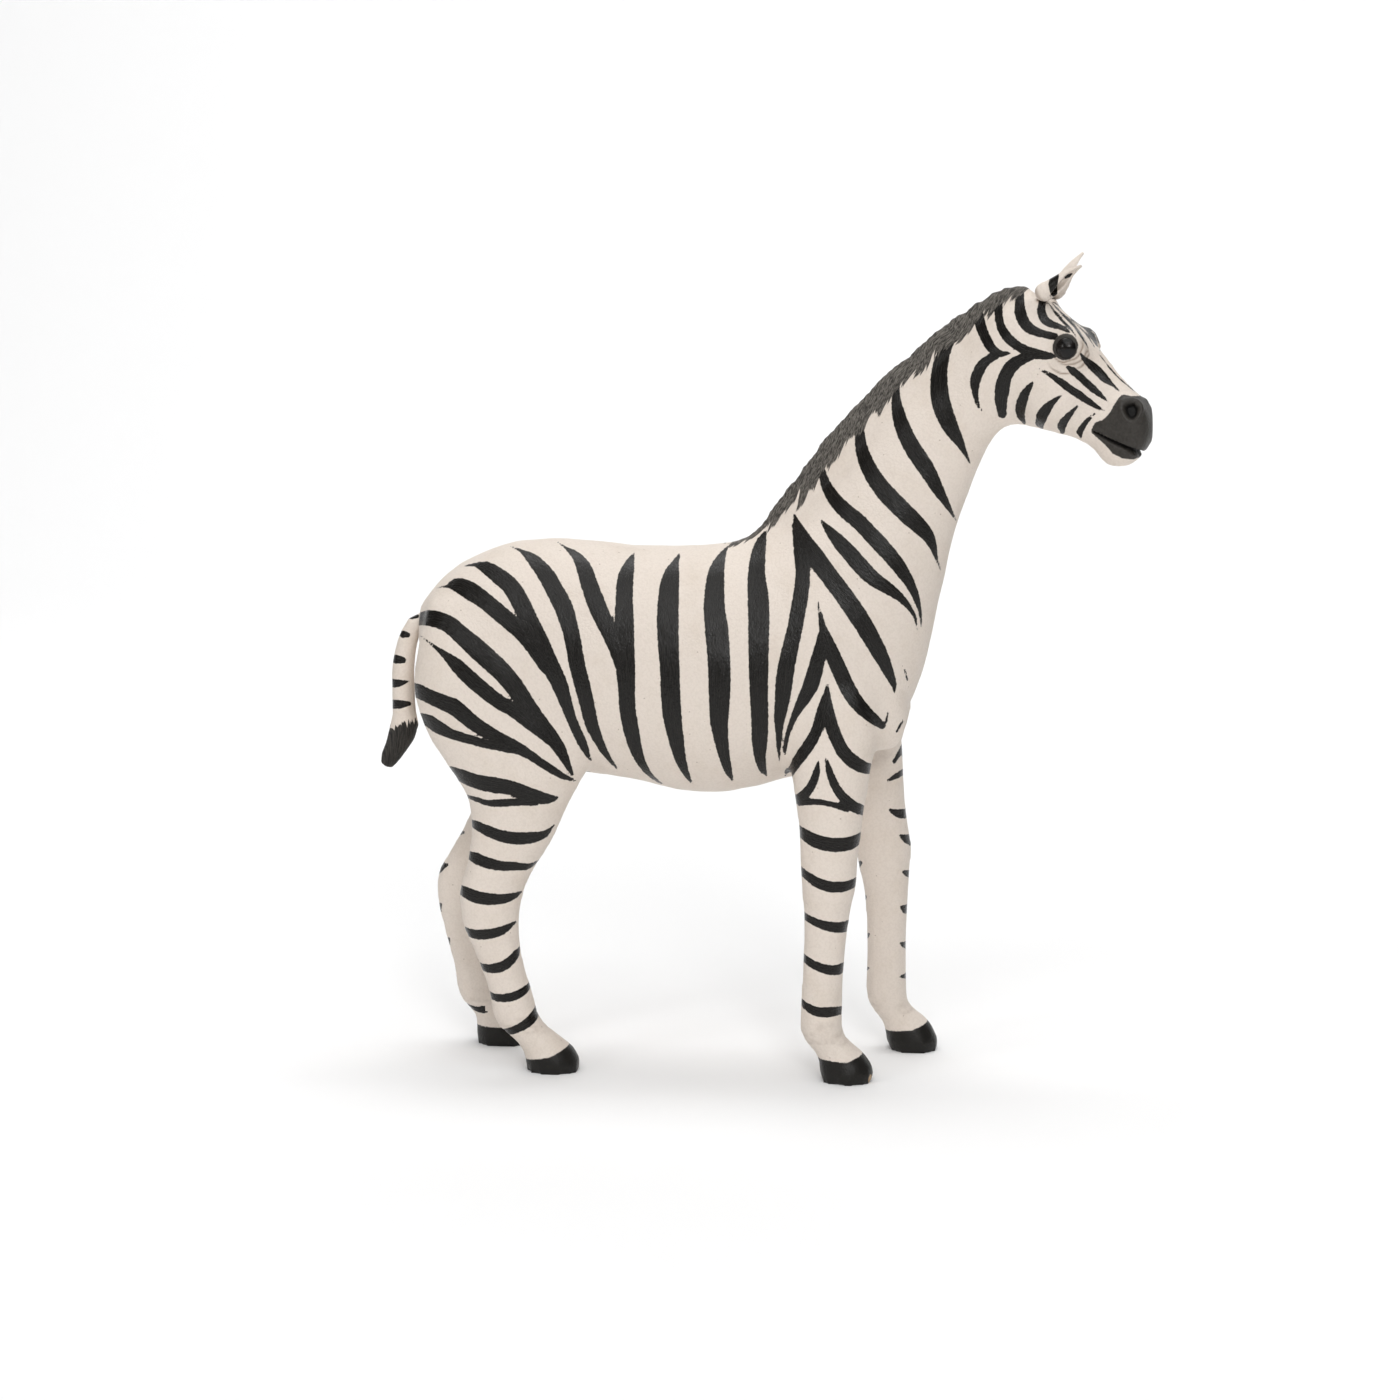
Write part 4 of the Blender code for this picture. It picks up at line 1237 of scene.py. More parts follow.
class Materials:
    """Builds the materials on shared effects."""

    def __init__(self) -> None:
        """Builds the shared effects."""
        self.palette = Palette()
        self.grain = leather_grain()
        self.brush = brush_marks()

    def start(self, name: str) -> tuple:
        """Makes an empty material.

        Args:
            name: The material's name.

        Returns:
            The material and its tree.
        """
        material = bpy.data.materials.new(name)
        material.use_nodes = True
        return material, Shader(material.node_tree)

    def painted_leather(self, coat: Coat) -> bpy.types.Material:
        """Off-white leather with brush strokes, dark mane, muzzle and hooves, and painted shade in its
        creases, mouth and nostrils.

        Args:
            coat: The sizes of its grain and marks.

        Returns:
            The material.
        """
        colours = self.palette
        material, shader = self.start(coat.slot.value)
        place = shader.place()
        grain = self.grain.use(shader, Vector=place, Pebbles_per_mm=coat.pebbles)
        marks = self.brush.use(
            shader, Depth=shader.attribute("coat"), Lines=shader.attribute("brush", "Vector"), Vector=place,
            Raggedness=coat.raggedness,
        )
        dry = shader.step(marks["Streaks"], start=0.45, end=0.78)
        paint = shader.blend(shader.math("MULTIPLY", dry, 0.7), colours.paint, colours.paint_dry)
        colour = shader.blend(marks["Paint"], self.leather_colour(shader, grain), paint)
        paint_rough = shader.mix(dry, coat.paint_roughness, coat.dry_roughness)
        rough = shader.mix(marks["Paint"], coat.leather_roughness, paint_rough)

        fray = shader.wander(place, scale=1.1, detail=4, roughness=0.7)
        satin = shader.blend(shader.noise(place, 0.7, 4, 0.6), colours.muzzle, colours.muzzle_light)
        # The last cover is painted shade in the mouth and the nostrils.
        covers = ((MUZZLE, satin), (HOOF, colours.hoof), (BARE, colours.bare), (HOLLOW_SHADE, colours.hollow))
        for patch, over in covers:
            depth = shader.attribute(patch.name)
            if patch.fray:
                depth = shader.plus(depth, fray, patch.fray)
            shows = shader.step(depth, patch.start, patch.end)
            colour = shader.blend(shows, colour, over)
            rough = shader.mix(shows, rough, patch.roughness)

        mane, strands = self.mane_hair(shader)
        tone = shader.blend(shader.step(strands, start=0.36, end=0.66), coat.hair, coat.hair_light)
        colour = shader.blend(mane, colour, tone)
        rough = shader.mix(mane, rough, shader.mix(strands, *coat.hair_roughness))

        grain_height = shader.math("MULTIPLY", grain["Height"], coat.grain)
        height = shader.plus(grain_height, grain["Folds"], coat.folds)
        height = shader.plus(height, marks["Thickness"], coat.paint_height)
        bristles = shader.math("MULTIPLY", marks["Streaks"], marks["Paint"])
        height = shader.plus(height, bristles, coat.bristle_height)
        height = shader.plus(height, shader.math("MULTIPLY", strands, mane), coat.strand_height)
        self.finish(shader, colour, rough, height, Specular_IOR_Level=coat.gloss)
        return material

    def leather_colour(self, shader: Shader, grain: bpy.types.bpy_prop_collection) -> bpy.types.NodeSocket:
        """The colour of the leather, with its darker patches and specks, and painted shade in its grain's
        pits and its creases.

        Args:
            shader: The material's tree.
            grain: The results of the leather's grain.

        Returns:
            The colour's socket.
        """
        colours = self.palette
        patches = shader.step(grain["Patches"], 0.44, 0.76, low=0, high=0.38)
        leather = shader.blend(patches, colours.leather, colours.leather_shade)
        # Painted shade in the grain's pits, then the leather's own dark specks, then painted shade in the
        # creases.
        for specks_and_painted_shade in (
            shader.step(grain["Height"], 0.05, -0.30, low=0, high=0.07),
            shader.math("MULTIPLY", grain["Specks"], 0.5),
            shader.math("MULTIPLY", shader.attribute("crease"), 0.85),
        ):
            leather = shader.blend(specks_and_painted_shade, leather, colours.crease)
        return leather

    def mane_hair(self, shader: Shader) -> tuple:
        """Brushed hair with an uneven edge of tips and clumps.

        Args:
            shader: The material's tree.

        Returns:
            Where the hair lies, and its strands.
        """
        hair = shader.attribute("hair", "Vector")
        strands = shader.noise(shader.stretch(hair, (0.13, 1.9, 1)), scale=1, detail=5, roughness=0.65)
        tips = shader.wander(shader.stretch(hair, (0.015, 0.75, 0)), scale=1, detail=1.5, roughness=0.5)
        clumps = shader.wander(shader.stretch(hair, (0.015, 0.2, 0)), scale=1, detail=1, roughness=0.5)
        uneven = shader.plus(shader.math("MULTIPLY", tips, 9.0), clumps, 11.0)
        reach = shader.math("ADD", shader.attribute("mane"), uneven)
        return shader.step(reach, start=-0.25, end=0.45), strands

    def finish(
        self, shader: Shader, colour: object, roughness: object, height: object, **extra: float,
    ) -> None:
        """Ends a material in its bump and its Principled shader.

        Args:
            shader: The material's tree.
            colour: The base colour.
            roughness: The roughness.
            height: The relief's height, in millimetres.
            **extra: Constants for other inputs, whose spaces are underscores here.
        """
        bump = shader.add("ShaderNodeBump", {"Height": height, "Distance": MM, "Strength": 1.0})
        inputs = {"Base Color": colour, "Roughness": roughness, "Normal": bump.outputs[0]}
        inputs.update({name.replace("_", " "): value for name, value in extra.items()})
        principled = shader.add("ShaderNodeBsdfPrincipled", inputs)
        shader.add("ShaderNodeOutputMaterial", {"Surface": principled.outputs[0]})

    def eye_glass(self) -> bpy.types.Material:
        """Dark glass with a soft sheen and a little dust smeared over it.

        Returns:
            The material.
        """
        colours = self.palette
        material, shader = self.start(Finish.EYE.value)
        place = shader.place()
        smear = shader.noise(place, 0.35, 3, 0.6)
        colour = shader.blend(shader.step(smear, 0.4, 0.7), colours.glass, colours.glass_brown)
        rough = shader.step(smear, 0.3, 0.75, low=0.16, high=0.30)
        height = shader.math("MULTIPLY", shader.noise(place, 0.9, 2, 0.5), 0.02)
        self.finish(shader, colour, rough, height, Specular_IOR_Level=0.28)
        return material


class Piece:
    """One node's visible piece, which rides on the root."""

    def __init__(self, node: str, drawing: Drawing, material: bpy.types.Material) -> None:
        """Keeps what the piece is built from.

        Args:
            node: The CAD node that it replaces.
            drawing: The side drawing.
            material: Its material.
        """
        self.node = node
        self.drawing = drawing
        self.material = material
        self.thing: bpy.types.Object | None = None

    def dress(self, slot: Finish) -> None:
        """Gives the finished piece its material and its place in the record.

        Args:
            slot: Its slot in the record; not used.
        """
        self.thing.data.materials.clear()
        self.thing.data.materials.append(self.material)
        pick(self.thing)
        bpy.ops.object.shade_smooth()
        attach(self.thing, "root")
        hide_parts(self.node)
        triangles = sum(len(face.vertices) - 2 for face in self.thing.data.polygons)
        LOG.info("%s: %d triangles", self.thing.name, triangles)

    def places(self) -> tuple:
        """The piece's points in the figure and on the drawing.

        Returns:
            The points in millimetres from the drawing's origin, and the places they look up.
        """
        points = self.drawing.to_drawing(points_of(self.thing))
        return points, self.drawing.seen(self.drawing.on_right_side(points))

    def push(self, amount: np.ndarray) -> None:
        """Moves each point along its normal by this many millimetres."""
        move_points(self.thing, points_of(self.thing) + normals_of(self.thing) * amount[:, None] * MM)

    def keep_empty(self, *names: str) -> None:
        """Keeps a number far outside any mark for each of these attributes."""
        for name in names:
            store(self.thing, name, np.full(len(self.thing.data.vertices), FAR_OUTSIDE))


@dataclass(frozen=True)
class SkinSizes:
    """Sizes of the body's skin, in millimetres. A noise is its bumps' spacing and its seed."""

    voxel: float = 2.88
    edge_margin: float = 0.9
    turned_away: float = 0.5
    smoothing: int = 22
    fine_smoothing: int = 4
    sole_fade: tuple = (0.3, 3.0)
    ankle_fade: tuple = (30.0, 55.0)
    ankle_smoothing: float = 0.4
    head_start: float = 128.0
    head_bottom: float = 300.0
    face_start: float = 150.0
    snout_start: float = 166.0
    fine_mane_margin: float = 5.0
    fine_hoof_top: float = 20.0
    fine_eye: tuple = (13.5, -6.0)
    socket_fill: float = 7.1
    mouth_fill: tuple = (24.0, 16.0, 3.4)
    mouth_middle: tuple = (181.5, 0.0, 329.0)
    mouth_slope: float = math.radians(28.3)
    mouth_depth: float = 3.4
    mouth_width: float = 0.95
    mouth_corner: float = 0.5
    mouth_widening: float = 0.8
    mouth_length: float = 26.0
    nostril_reach: float = 5.1
    nostril_wall: float = 2.0
    nostril_depth: float = 4.2
    nostril_taper: float = 0.07
    nostril_taper_range: tuple = (-3.0, 5.0)
    nostril_squash: float = 0.84
    nostril_rim: float = 0.55
    nostril_rim_place: float = 0.9
    nostril_rim_width: float = 1.1
    lid_opening: float = 5.35
    lid_snap: float = 0.3
    lid_reach: float = 6.0
    lid_rim: float = 0.55
    lid_rim_place: float = 0.8
    lid_rim_width: float = 0.9
    lid_cover: float = 0.35
    eye_gap: float = 0.8
    eye_paint: tuple = (5.9, 7.4)
    eye_paint_angle: float = math.radians(125)
    eye_paint_back: float = -3.0
    wrinkles: tuple = ((7.2, -165, 40), (8.8, -128, 52), (10.6, -92, 8), (12.4, -150, -62))
    wrinkle_depth: float = 0.36
    wrinkle_width: float = 0.42
    wrinkle_zone: tuple = (16.0, -5.0)
    wrinkle_fades: tuple = (42.0, 36.0)
    wrinkle_wave: float = 0.55
    wrinkle_waves: float = 2.4
    wrinkle_wander: float = 0.6
    wrinkle_spacing: float = 4.2
    fold_height: float = 0.30
    fold_start: tuple = (2.0, 10.0)
    folds: tuple = (17.0, 3.1)
    fine_folds: tuple = (6.5, 8.4)
    ankle_depth: float = 0.22
    ankle_creases: tuple = (21.5, 25.0, 29.5)
    ankle_top: float = 40.0
    ankle_wander: float = 2.2
    ankle_width: float = 0.55
    ankle_noise: tuple = (9.0, 1.7)
    # How dark the painted shade in the pasterns' creases is, and the heights over which it fades out.
    ankle_painted_shade: float = 0.22
    ankle_painted_shade_fade: tuple = (40.0, 30.0)
    # Distances from an ear's root over which its painted shade fades out.
    ear_crease: tuple = (5.3, 6.4)
    hoof_zone: float = 34.0
    lock_height: float = 0.55
    lock_fade: tuple = (-0.5, 2.5)
    locks: tuple = (3.4, 5.5)
    fine_locks: tuple = (1.5, 2.5)
    hair_slant: float = math.radians(24)
    hair_step: float = 4.0


# Each leg's rows, with the height of its hoof's black at the heel, in the middle and at the toe.
HOOF_TOPS = (
    (FORE_RIGHT, (12.5, 11.8, 17.0)), (HIND_RIGHT, (6.5, 9.5, 17.0)),
    (FORE_LEFT, (11.0, 12.5, 18.0)), (HIND_LEFT, (10.5, 10.5, 15.0)),
)
# The worn light spot on the right fore hoof's toe.
BARE_TOE = (57.5, -38.0, 2.0)
BARE_TOE_RADIUS = 2.6


class EyeFrame:
    """Where an eye sits in its head: distances from its centre along and off the line it looks along."""

    def __init__(self, drawing: Drawing, side: Side) -> None:
        """Finds the eye's centre and the direction it looks in.

        Args:
            drawing: The side drawing.
            side: Which eye.
        """
        self.centre = drawing.twin(EYE_PLACE, side)
        self.out = np.array(Matrix.Rotation(HEAD_TURN, 3, "Z") @ Vector((0, side.value, 0)))
        self.ahead = np.array(Matrix.Rotation(HEAD_TURN, 3, "Z") @ Vector((1, 0, 0)))

    def measure(self, points: np.ndarray) -> tuple:
        """How far points lie out along the eye's line, off it, and at what angle round it.

        Args:
            points: Points in the drawing's frame.

        Returns:
            Height along the line, distance off it and the angle, which is 0 ahead and grows upward.
        """
        gap = points - self.centre
        height = gap @ self.out
        angle = np.arctan2(gap[:, 2], gap @ self.ahead)
        off = np.linalg.norm(gap - height[:, None] * self.out, axis=1)
        return height, off, angle


class BodySkin(Piece):
    """The body's painted leather skin, with the mane, the face and the hooves."""

    def __init__(self, drawing: Drawing, material: bpy.types.Material) -> None:
        """Keeps the drawing, the material and the places of the eyes.

        Args:
            drawing: The side drawing.
            material: The skin's material.
        """
        super().__init__("body", drawing, material)
        self.sizes = SkinSizes()
        self.eyes = [EyeFrame(drawing, side) for side in Side]

    def build(self) -> None:
        """Builds the skin from a copy of the CAD body and paints it."""
        self.thing = cad_copy("body", "body_skin")
        self.fill_sockets()
        self.fill_mouth()
        remesh(self.thing, self.sizes.voxel)
        self.soften()
        self.refine_details()
        self.shape_folds()
        self.shape_face()
        self.shape_mane()
        self.shape_lids()
        self.paint()
        self.dress(Finish.SKIN)

    def fill_sockets(self) -> None:
        """Joins a ball into each eye socket, for the lids to be shaped from."""
        for eye in self.eyes:
            bpy.ops.object.select_all(action="DESELECT")
            bpy.ops.mesh.primitive_uv_sphere_add(
                segments=32, ring_count=20, radius=self.sizes.socket_fill * MM,
                location=self.drawing.to_frame(eye.centre),
            )
            self.join()

    def fill_mouth(self) -> None:
        """Joins a block into the mouth's cut, which is carved again on the finer skin."""
        bpy.ops.object.select_all(action="DESELECT")
        middle = self.drawing.turned(np.array([self.sizes.mouth_middle]))[0]
        bpy.ops.mesh.primitive_cube_add(
            size=1, location=self.drawing.to_frame(middle), rotation=(0, self.sizes.mouth_slope, HEAD_TURN),
            scale=[size * MM for size in self.sizes.mouth_fill],
        )
        self.join()

    def join(self) -> None:
        """Joins the active object into the skin."""
        part = bpy.context.object
        pick(self.thing, part)
        bpy.ops.object.join()

    def soften(self) -> None:
        """Smooths the CAD's facets away, less at the ankles and hooves, and keeps the soles flat."""
        sizes = self.sizes
        height = points_of(self.thing)[:, 2] / MM
        above_ankle = (1 - sizes.ankle_smoothing) * eased(height, *sizes.ankle_fade)
        keep = eased(height, *sizes.sole_fade) * (sizes.ankle_smoothing + above_ankle)
        smooth_out(self.thing, sizes.smoothing, keep)

    def refine_details(self) -> None:
        """Gives the head, the mane, the hooves and the strokes' edges finer squares, the face the finest."""
        sizes = self.sizes
        points, places = self.places()
        mane = area_depth(places, np.array(MANE_EDGE + MANE_TOP, dtype=float))
        in_head = (points[:, 0] > sizes.head_start) & (points[:, 2] > sizes.head_bottom)
        detailed = in_head | (mane > -sizes.fine_mane_margin) | (points[:, 2] < sizes.fine_hoof_top)
        lowest, highest = spread_in_faces(self.thing, self.drawing.marks(places, ALL_STROKES).depth)
        on_edge = (lowest < sizes.edge_margin) & (highest > -sizes.edge_margin)
        refine(self.thing, on_edge | (spread_in_faces(self.thing, detailed.astype(float))[1] > 0))
        points, _ = self.places()
        reach, back = sizes.fine_eye
        detailed = (points[:, 0] > sizes.snout_start) & (points[:, 2] > sizes.head_bottom)
        for eye in self.eyes:
            height, off, _ = eye.measure(points)
            detailed |= (off < reach) & (height > back)
        refine(self.thing, spread_in_faces(self.thing, detailed.astype(float))[1] > 0)
        keep = eased(points_of(self.thing)[:, 2] / MM, *sizes.sole_fade)
        smooth_out(self.thing, sizes.fine_smoothing, keep)

    def shape_folds(self) -> None:
        """Raises the soft unevenness of leather over a core, and the creases above the hooves."""
        sizes = self.sizes
        points, _ = self.places()
        free = eased(points[:, 2], *sizes.fold_start)
        amount = sizes.fold_height * noise_at(points, *sizes.folds) * free
        amount += sizes.fold_height * 0.5 * noise_at(points * (1, 1, 0.6), *sizes.fine_folds) * free
        self.push(amount - self.ankle_folds(points) * sizes.ankle_depth)

    def ankle_folds(self, points: np.ndarray) -> np.ndarray:
        """How far each point lies in one of the creases round the pasterns.

        Args:
            points: Points of the figure.

        Returns:
            The share, from 0 to 1.
        """
        sizes = self.sizes
        depth = np.zeros(len(points))
        low = points[:, 2] < sizes.ankle_top
        wander = noise_at(points[low], *sizes.ankle_noise)
        for height in sizes.ankle_creases:
            off = points[low, 2] - height - sizes.ankle_wander * wander
            depth[low] += np.exp(-((off / sizes.ankle_width) ** 2))
        return np.clip(depth, 0, 1)

    def shape_face(self) -> None:
        """Carves the mouth, the nostrils and the wrinkles by the eyes, and keeps where painted shade darkens
        the mouth and the nostrils.
        """
        sizes = self.sizes
        points, places = self.places()
        mouth, nostril, rim = self.face_hollows(points, places)
        # Painted shade: the mouth and the nostrils darken by how far a point lies in them.
        store(self.thing, "hollow", np.maximum(mouth, nostril))
        amount = sizes.nostril_rim * rim - sizes.nostril_depth * nostril - sizes.mouth_depth * mouth
        self.push(amount - self.eye_wrinkles(points) * sizes.wrinkle_depth)

    def face_hollows(self, points: np.ndarray, places: np.ndarray) -> tuple:
        """How far each point lies in the mouth, in a nostril and on a nostril's rim, from 0 to 1.

        Args:
            points: Points in the drawing's frame.
            places: The places they look up in the drawing.

        Returns:
            The three shares.
        """
        sizes = self.sizes
        face = points[:, 0] > sizes.face_start
        mouth, nostril, rim = (np.zeros(len(points)) for _ in range(3))
        distance, along = nearest_on_line(places[face], smooth_curve(MOUTH_LINE, 1.0))
        opened = np.clip(along / sizes.mouth_length, 0, 1)
        open_to = sizes.mouth_width * (sizes.mouth_corner + sizes.mouth_widening * opened)
        mouth[face] = np.exp(-((distance / open_to) ** 4))
        for side in Side:
            gap = points - self.drawing.twin(NOSTRIL_PLACE, side)
            narrowing = 1 - sizes.nostril_taper * np.clip(-gap[:, 2], *sizes.nostril_taper_range)
            across = np.hypot(gap[:, 0], gap[:, 1]) / narrowing
            away = np.hypot(across, gap[:, 2] * sizes.nostril_squash)
            floor = sizes.nostril_reach - sizes.nostril_wall
            nostril = np.maximum(nostril, 1 - eased(away, floor, sizes.nostril_reach))
            off = (away - sizes.nostril_reach - sizes.nostril_rim_place) / sizes.nostril_rim_width
            rim = np.maximum(rim, np.exp(-(off**2)))
        return mouth, nostril, rim

    def eye_wrinkles(self, points: np.ndarray) -> np.ndarray:
        """How far each point lies in one of the wrinkles below and in front of the eyes.

        Args:
            points: Points of the figure.

        Returns:
            The share, from 0 to 1.
        """
        sizes = self.sizes
        reach, back = sizes.wrinkle_zone
        fade_in, fade_out = sizes.wrinkle_fades
        depth = np.zeros(len(points))
        for eye in self.eyes:
            height, off, angle = eye.measure(points)
            near = (off < reach) & (height > back)
            off, angle = off[near], np.degrees(angle[near])
            for radius, start, end in sizes.wrinkles:
                window = eased(angle, start, start + fade_in) * eased(angle, end, end - fade_out)
                wander = sizes.wrinkle_wave * np.sin(np.radians(angle) * sizes.wrinkle_waves + radius)
                wander += sizes.wrinkle_wander * noise_at(points[near], sizes.wrinkle_spacing, radius)
                ring = np.exp(-(((off - radius - wander) / sizes.wrinkle_width) ** 2))
                depth[near] = np.maximum(depth[near], ring * window)
        return depth

    def mane_hair(self, places: np.ndarray) -> tuple:
        """The mane at each place of the drawing.

        Args:
            places: Places in the drawing.

        Returns:
            The mane's depth, and the place along and across the hair, which slants back.
        """
        depth = area_depth(places, np.array(MANE_EDGE + MANE_TOP, dtype=float))
        distance, along = nearest_on_line(
            places, smooth_curve((BEHIND_MANE,) + MANE_EDGE, self.sizes.hair_step),
        )
        along -= math.dist(BEHIND_MANE, MANE_EDGE[0])
        height = distance * np.sign(depth)
        cos, sin = math.cos(self.sizes.hair_slant), math.sin(self.sizes.hair_slant)
        return depth, np.stack([along * cos + height * sin, height * cos - along * sin, depth], axis=1)

    def shape_mane(self) -> None:
        """Raises locks of brushed hair on the mane."""
        sizes = self.sizes
        _, places = self.places()
        depth, hair = self.mane_hair(places)
        inner = eased(depth, *sizes.lock_fade)
        locks = noise_at(hair * (0.16, 1, 0), *sizes.locks)
        locks = locks + 0.7 * noise_at(hair * (0.12, 1, 0), *sizes.fine_locks)
        self.push(sizes.lock_height * locks * inner)

    def shape_lids(self) -> None:
        """Lays the skin over each eye's edge as a raised lid, and under the glass inside it."""
        sizes = self.sizes
        points, _ = self.places()
        for eye in self.eyes:
            height, off, _ = eye.measure(points)
            gap = points - eye.centre
            reach = np.linalg.norm(gap, axis=1)
            front = (height > -1) & (off < sizes.lid_opening + sizes.lid_reach)
            snap = front & (np.abs(off - sizes.lid_opening) < sizes.lid_snap)
            flat = gap - height[:, None] * eye.out
            points[snap] += flat[snap] * (sizes.lid_opening / off[snap] - 1)[:, None]
            outer = front & (off >= sizes.lid_opening)
            from_rim = (off - sizes.lid_opening - sizes.lid_rim_place) / sizes.lid_rim_width
            rim = sizes.lid_rim * np.exp(-(from_rim**2))
            cover = np.maximum(reach, EYE_RADIUS + sizes.lid_cover)
            raised = eye.centre + gap * (cover / reach)[:, None] + rim[:, None] * eye.out
            points[outer] = raised[outer]
            sunk = front & (off < sizes.lid_opening - sizes.lid_snap)
            under = eye.centre + gap * ((EYE_RADIUS - sizes.eye_gap) / reach)[:, None]
            points[sunk] = under[sunk]
        move_points(self.thing, (points + self.drawing.shift) * MM)

    def paint(self) -> None:
        """Keeps the stripes, the mane, the muzzle, the hooves and the painted shade of the creases for the
        material.
        """
        sizes = self.sizes
        points, places = self.places()
        normals = normals_of(self.thing)
        marks = self.drawing.marks(places, ALL_STROKES)
        left = self.drawing.marks(self.drawing.seen(points), LEFT_STROKES)
        shows = (self.drawing.unturned(points)[:, 1] > 0) & (normals[:, 1] < sizes.turned_away)
        thinned = marks.depth - self.drawing.stroke_reach * self.drawing.faces_inward(points, normals)
        over = shows & (left.depth > thinned)
        mane, hair = self.mane_hair(places)
        # Painted shade: the creases round the pasterns, the wrinkles by the eyes and the creases round the
        # ears' roots are darkened.
        crease = sizes.ankle_painted_shade * self.ankle_folds(points) * eased(points[:, 2], *sizes.ankle_painted_shade_fade)
        crease = np.maximum(crease, self.eye_wrinkles(points))
        store(self.thing, "coat", np.where(over, left.depth, thinned))
        store(self.thing, "brush", np.where(over[:, None], left.lines, marks.lines))
        store(self.thing, "mane", mane)
        store(self.thing, "hair", hair)
        store(self.thing, "muzzle", self.muzzle_depth(points, places))
        store(self.thing, "crease", np.maximum(crease, self.ear_creases(points)))
        store(self.thing, "hoof", self.hoof_depth(points))
        store(self.thing, "bare", BARE_TOE_RADIUS - np.linalg.norm(points - np.array(BARE_TOE), axis=1))

    def muzzle_depth(self, points: np.ndarray, places: np.ndarray) -> np.ndarray:
        """How deep each point lies in the black of the muzzle or of an eye's rim.

        Args:
            points: Points of the figure.
            places: The places they look up in the drawing.

        Returns:
            The depth in millimetres.
        """
        narrow, wide = self.sizes.eye_paint
        outlined = area_depth(places, np.array(MUZZLE_OUTLINE, dtype=float))
        depth = np.where(points[:, 0] > self.sizes.face_start, outlined, FAR_OUTSIDE)
        for eye in self.eyes:
            height, off, angle = eye.measure(points)
            share = 0.5 + 0.5 * np.cos(angle - self.sizes.eye_paint_angle)
            reach = narrow + (wide - narrow) * share
            ring = np.where(height > self.sizes.eye_paint_back, reach - off, FAR_OUTSIDE)
            depth = np.maximum(depth, ring)
        return depth

    def ear_creases(self, points: np.ndarray) -> np.ndarray:
        """How far each point lies in the painted shade of the crease round an ear's root.

        Args:
            points: Points of the figure.

        Returns:
            The share, from 0 to 1.
        """
        depth = np.zeros(len(points))
        for side in Side:
            away = np.linalg.norm(points - self.drawing.twin(EAR_PLACE, side), axis=1)
            depth = np.maximum(depth, 1 - eased(away, *self.sizes.ear_crease))
        return depth

    def hoof_depth(self, points: np.ndarray) -> np.ndarray:
        """How far each point lies below the top of its hoof's black.

        Args:
            points: Points of the figure.

        Returns:
            The depth in millimetres.
        """
        nearest = np.full(len(points), BEYOND_ALL)
        depth = np.full(len(points), FAR_OUTSIDE)
        low = points[:, 2] < self.sizes.hoof_zone
        for leg, tops in HOOF_TOPS:
            _, x, y, half_length, _ = leg[-1]
            away = np.hypot(points[:, 0] - x, points[:, 1] - y)
            closer = low & (away < nearest)
            share = (points[closer, 0] - x) / half_length
            depth[closer] = np.interp(share, (-1, 0, 1), tops) - points[closer, 2]
            nearest[closer] = away[closer]
        return depth


@dataclass(frozen=True)
class TailSizes:
    """Sizes of the tail, in millimetres. A noise is its bumps' spacing and its seed."""

    voxel: float = 0.75
    smoothing: int = 24
    tuft_top: float = 177.6
    tuft_fade: tuple = (-1.0, 3.0)
    tuft_relief: float = 0.3
    locks: tuple = (1.6, 4.2)
    hair_wrap: float = 0.6
    dent_depth: float = 0.12
    dents: tuple = (7.0, 6.6)


class Tail(Piece):
    """The stuffed leather tail with its painted tuft."""

    def build(self) -> None:
        """Builds the tail from a copy of its CAD node and paints it."""
        sizes = TailSizes()
        self.thing = cad_copy("tail", "tail_leather_piece")
        remesh(self.thing, sizes.voxel)
        smooth_out(self.thing, sizes.smoothing, np.ones(len(self.thing.data.vertices)))
        points, places = self.places()
        across = places[:, 0] + points[:, 1] * sizes.hair_wrap
        hair = np.stack([places[:, 1], across, np.zeros(len(points))], axis=1)
        tuft = sizes.tuft_top - points[:, 2]
        locks = noise_at(hair * (0.12, 1, 1), *sizes.locks)
        dents = sizes.dent_depth * noise_at(points, *sizes.dents)
        self.push(sizes.tuft_relief * locks * eased(tuft, *sizes.tuft_fade) + dents)
        marks = self.drawing.marks(places, TAIL_STROKES)
        store(self.thing, "coat", marks.depth)
        store(self.thing, "brush", marks.lines)
        store(self.thing, "mane", tuft)
        store(self.thing, "hair", hair)
        store(self.thing, "crease", np.zeros(len(points)))
        store(self.thing, "hollow", np.zeros(len(points)))
        self.keep_empty("muzzle", "hoof", "bare")
        self.dress(Finish.TAIL)


@dataclass(frozen=True)
class EarSizes:
    """Sizes of an ear, in millimetres, and how it leans. A noise is its bumps' spacing and its seed."""

    voxel: float = 0.42
    smoothing: int = 10
    lean_out: float = math.radians(10)
    lean_right: float = math.radians(60)
    lean_left: float = math.radians(40)
    opens_to: float = math.radians(30)
    dent_depth: float = 0.07
    dents: tuple = (3.2, 9.1)
    turned_away: float = -0.05
    # Where the painted shade round the ear's root lies, how wide it is and how dark.
    root_height: float = -2.5
    root_width: float = 1.2
    root_painted_shade: float = 0.5


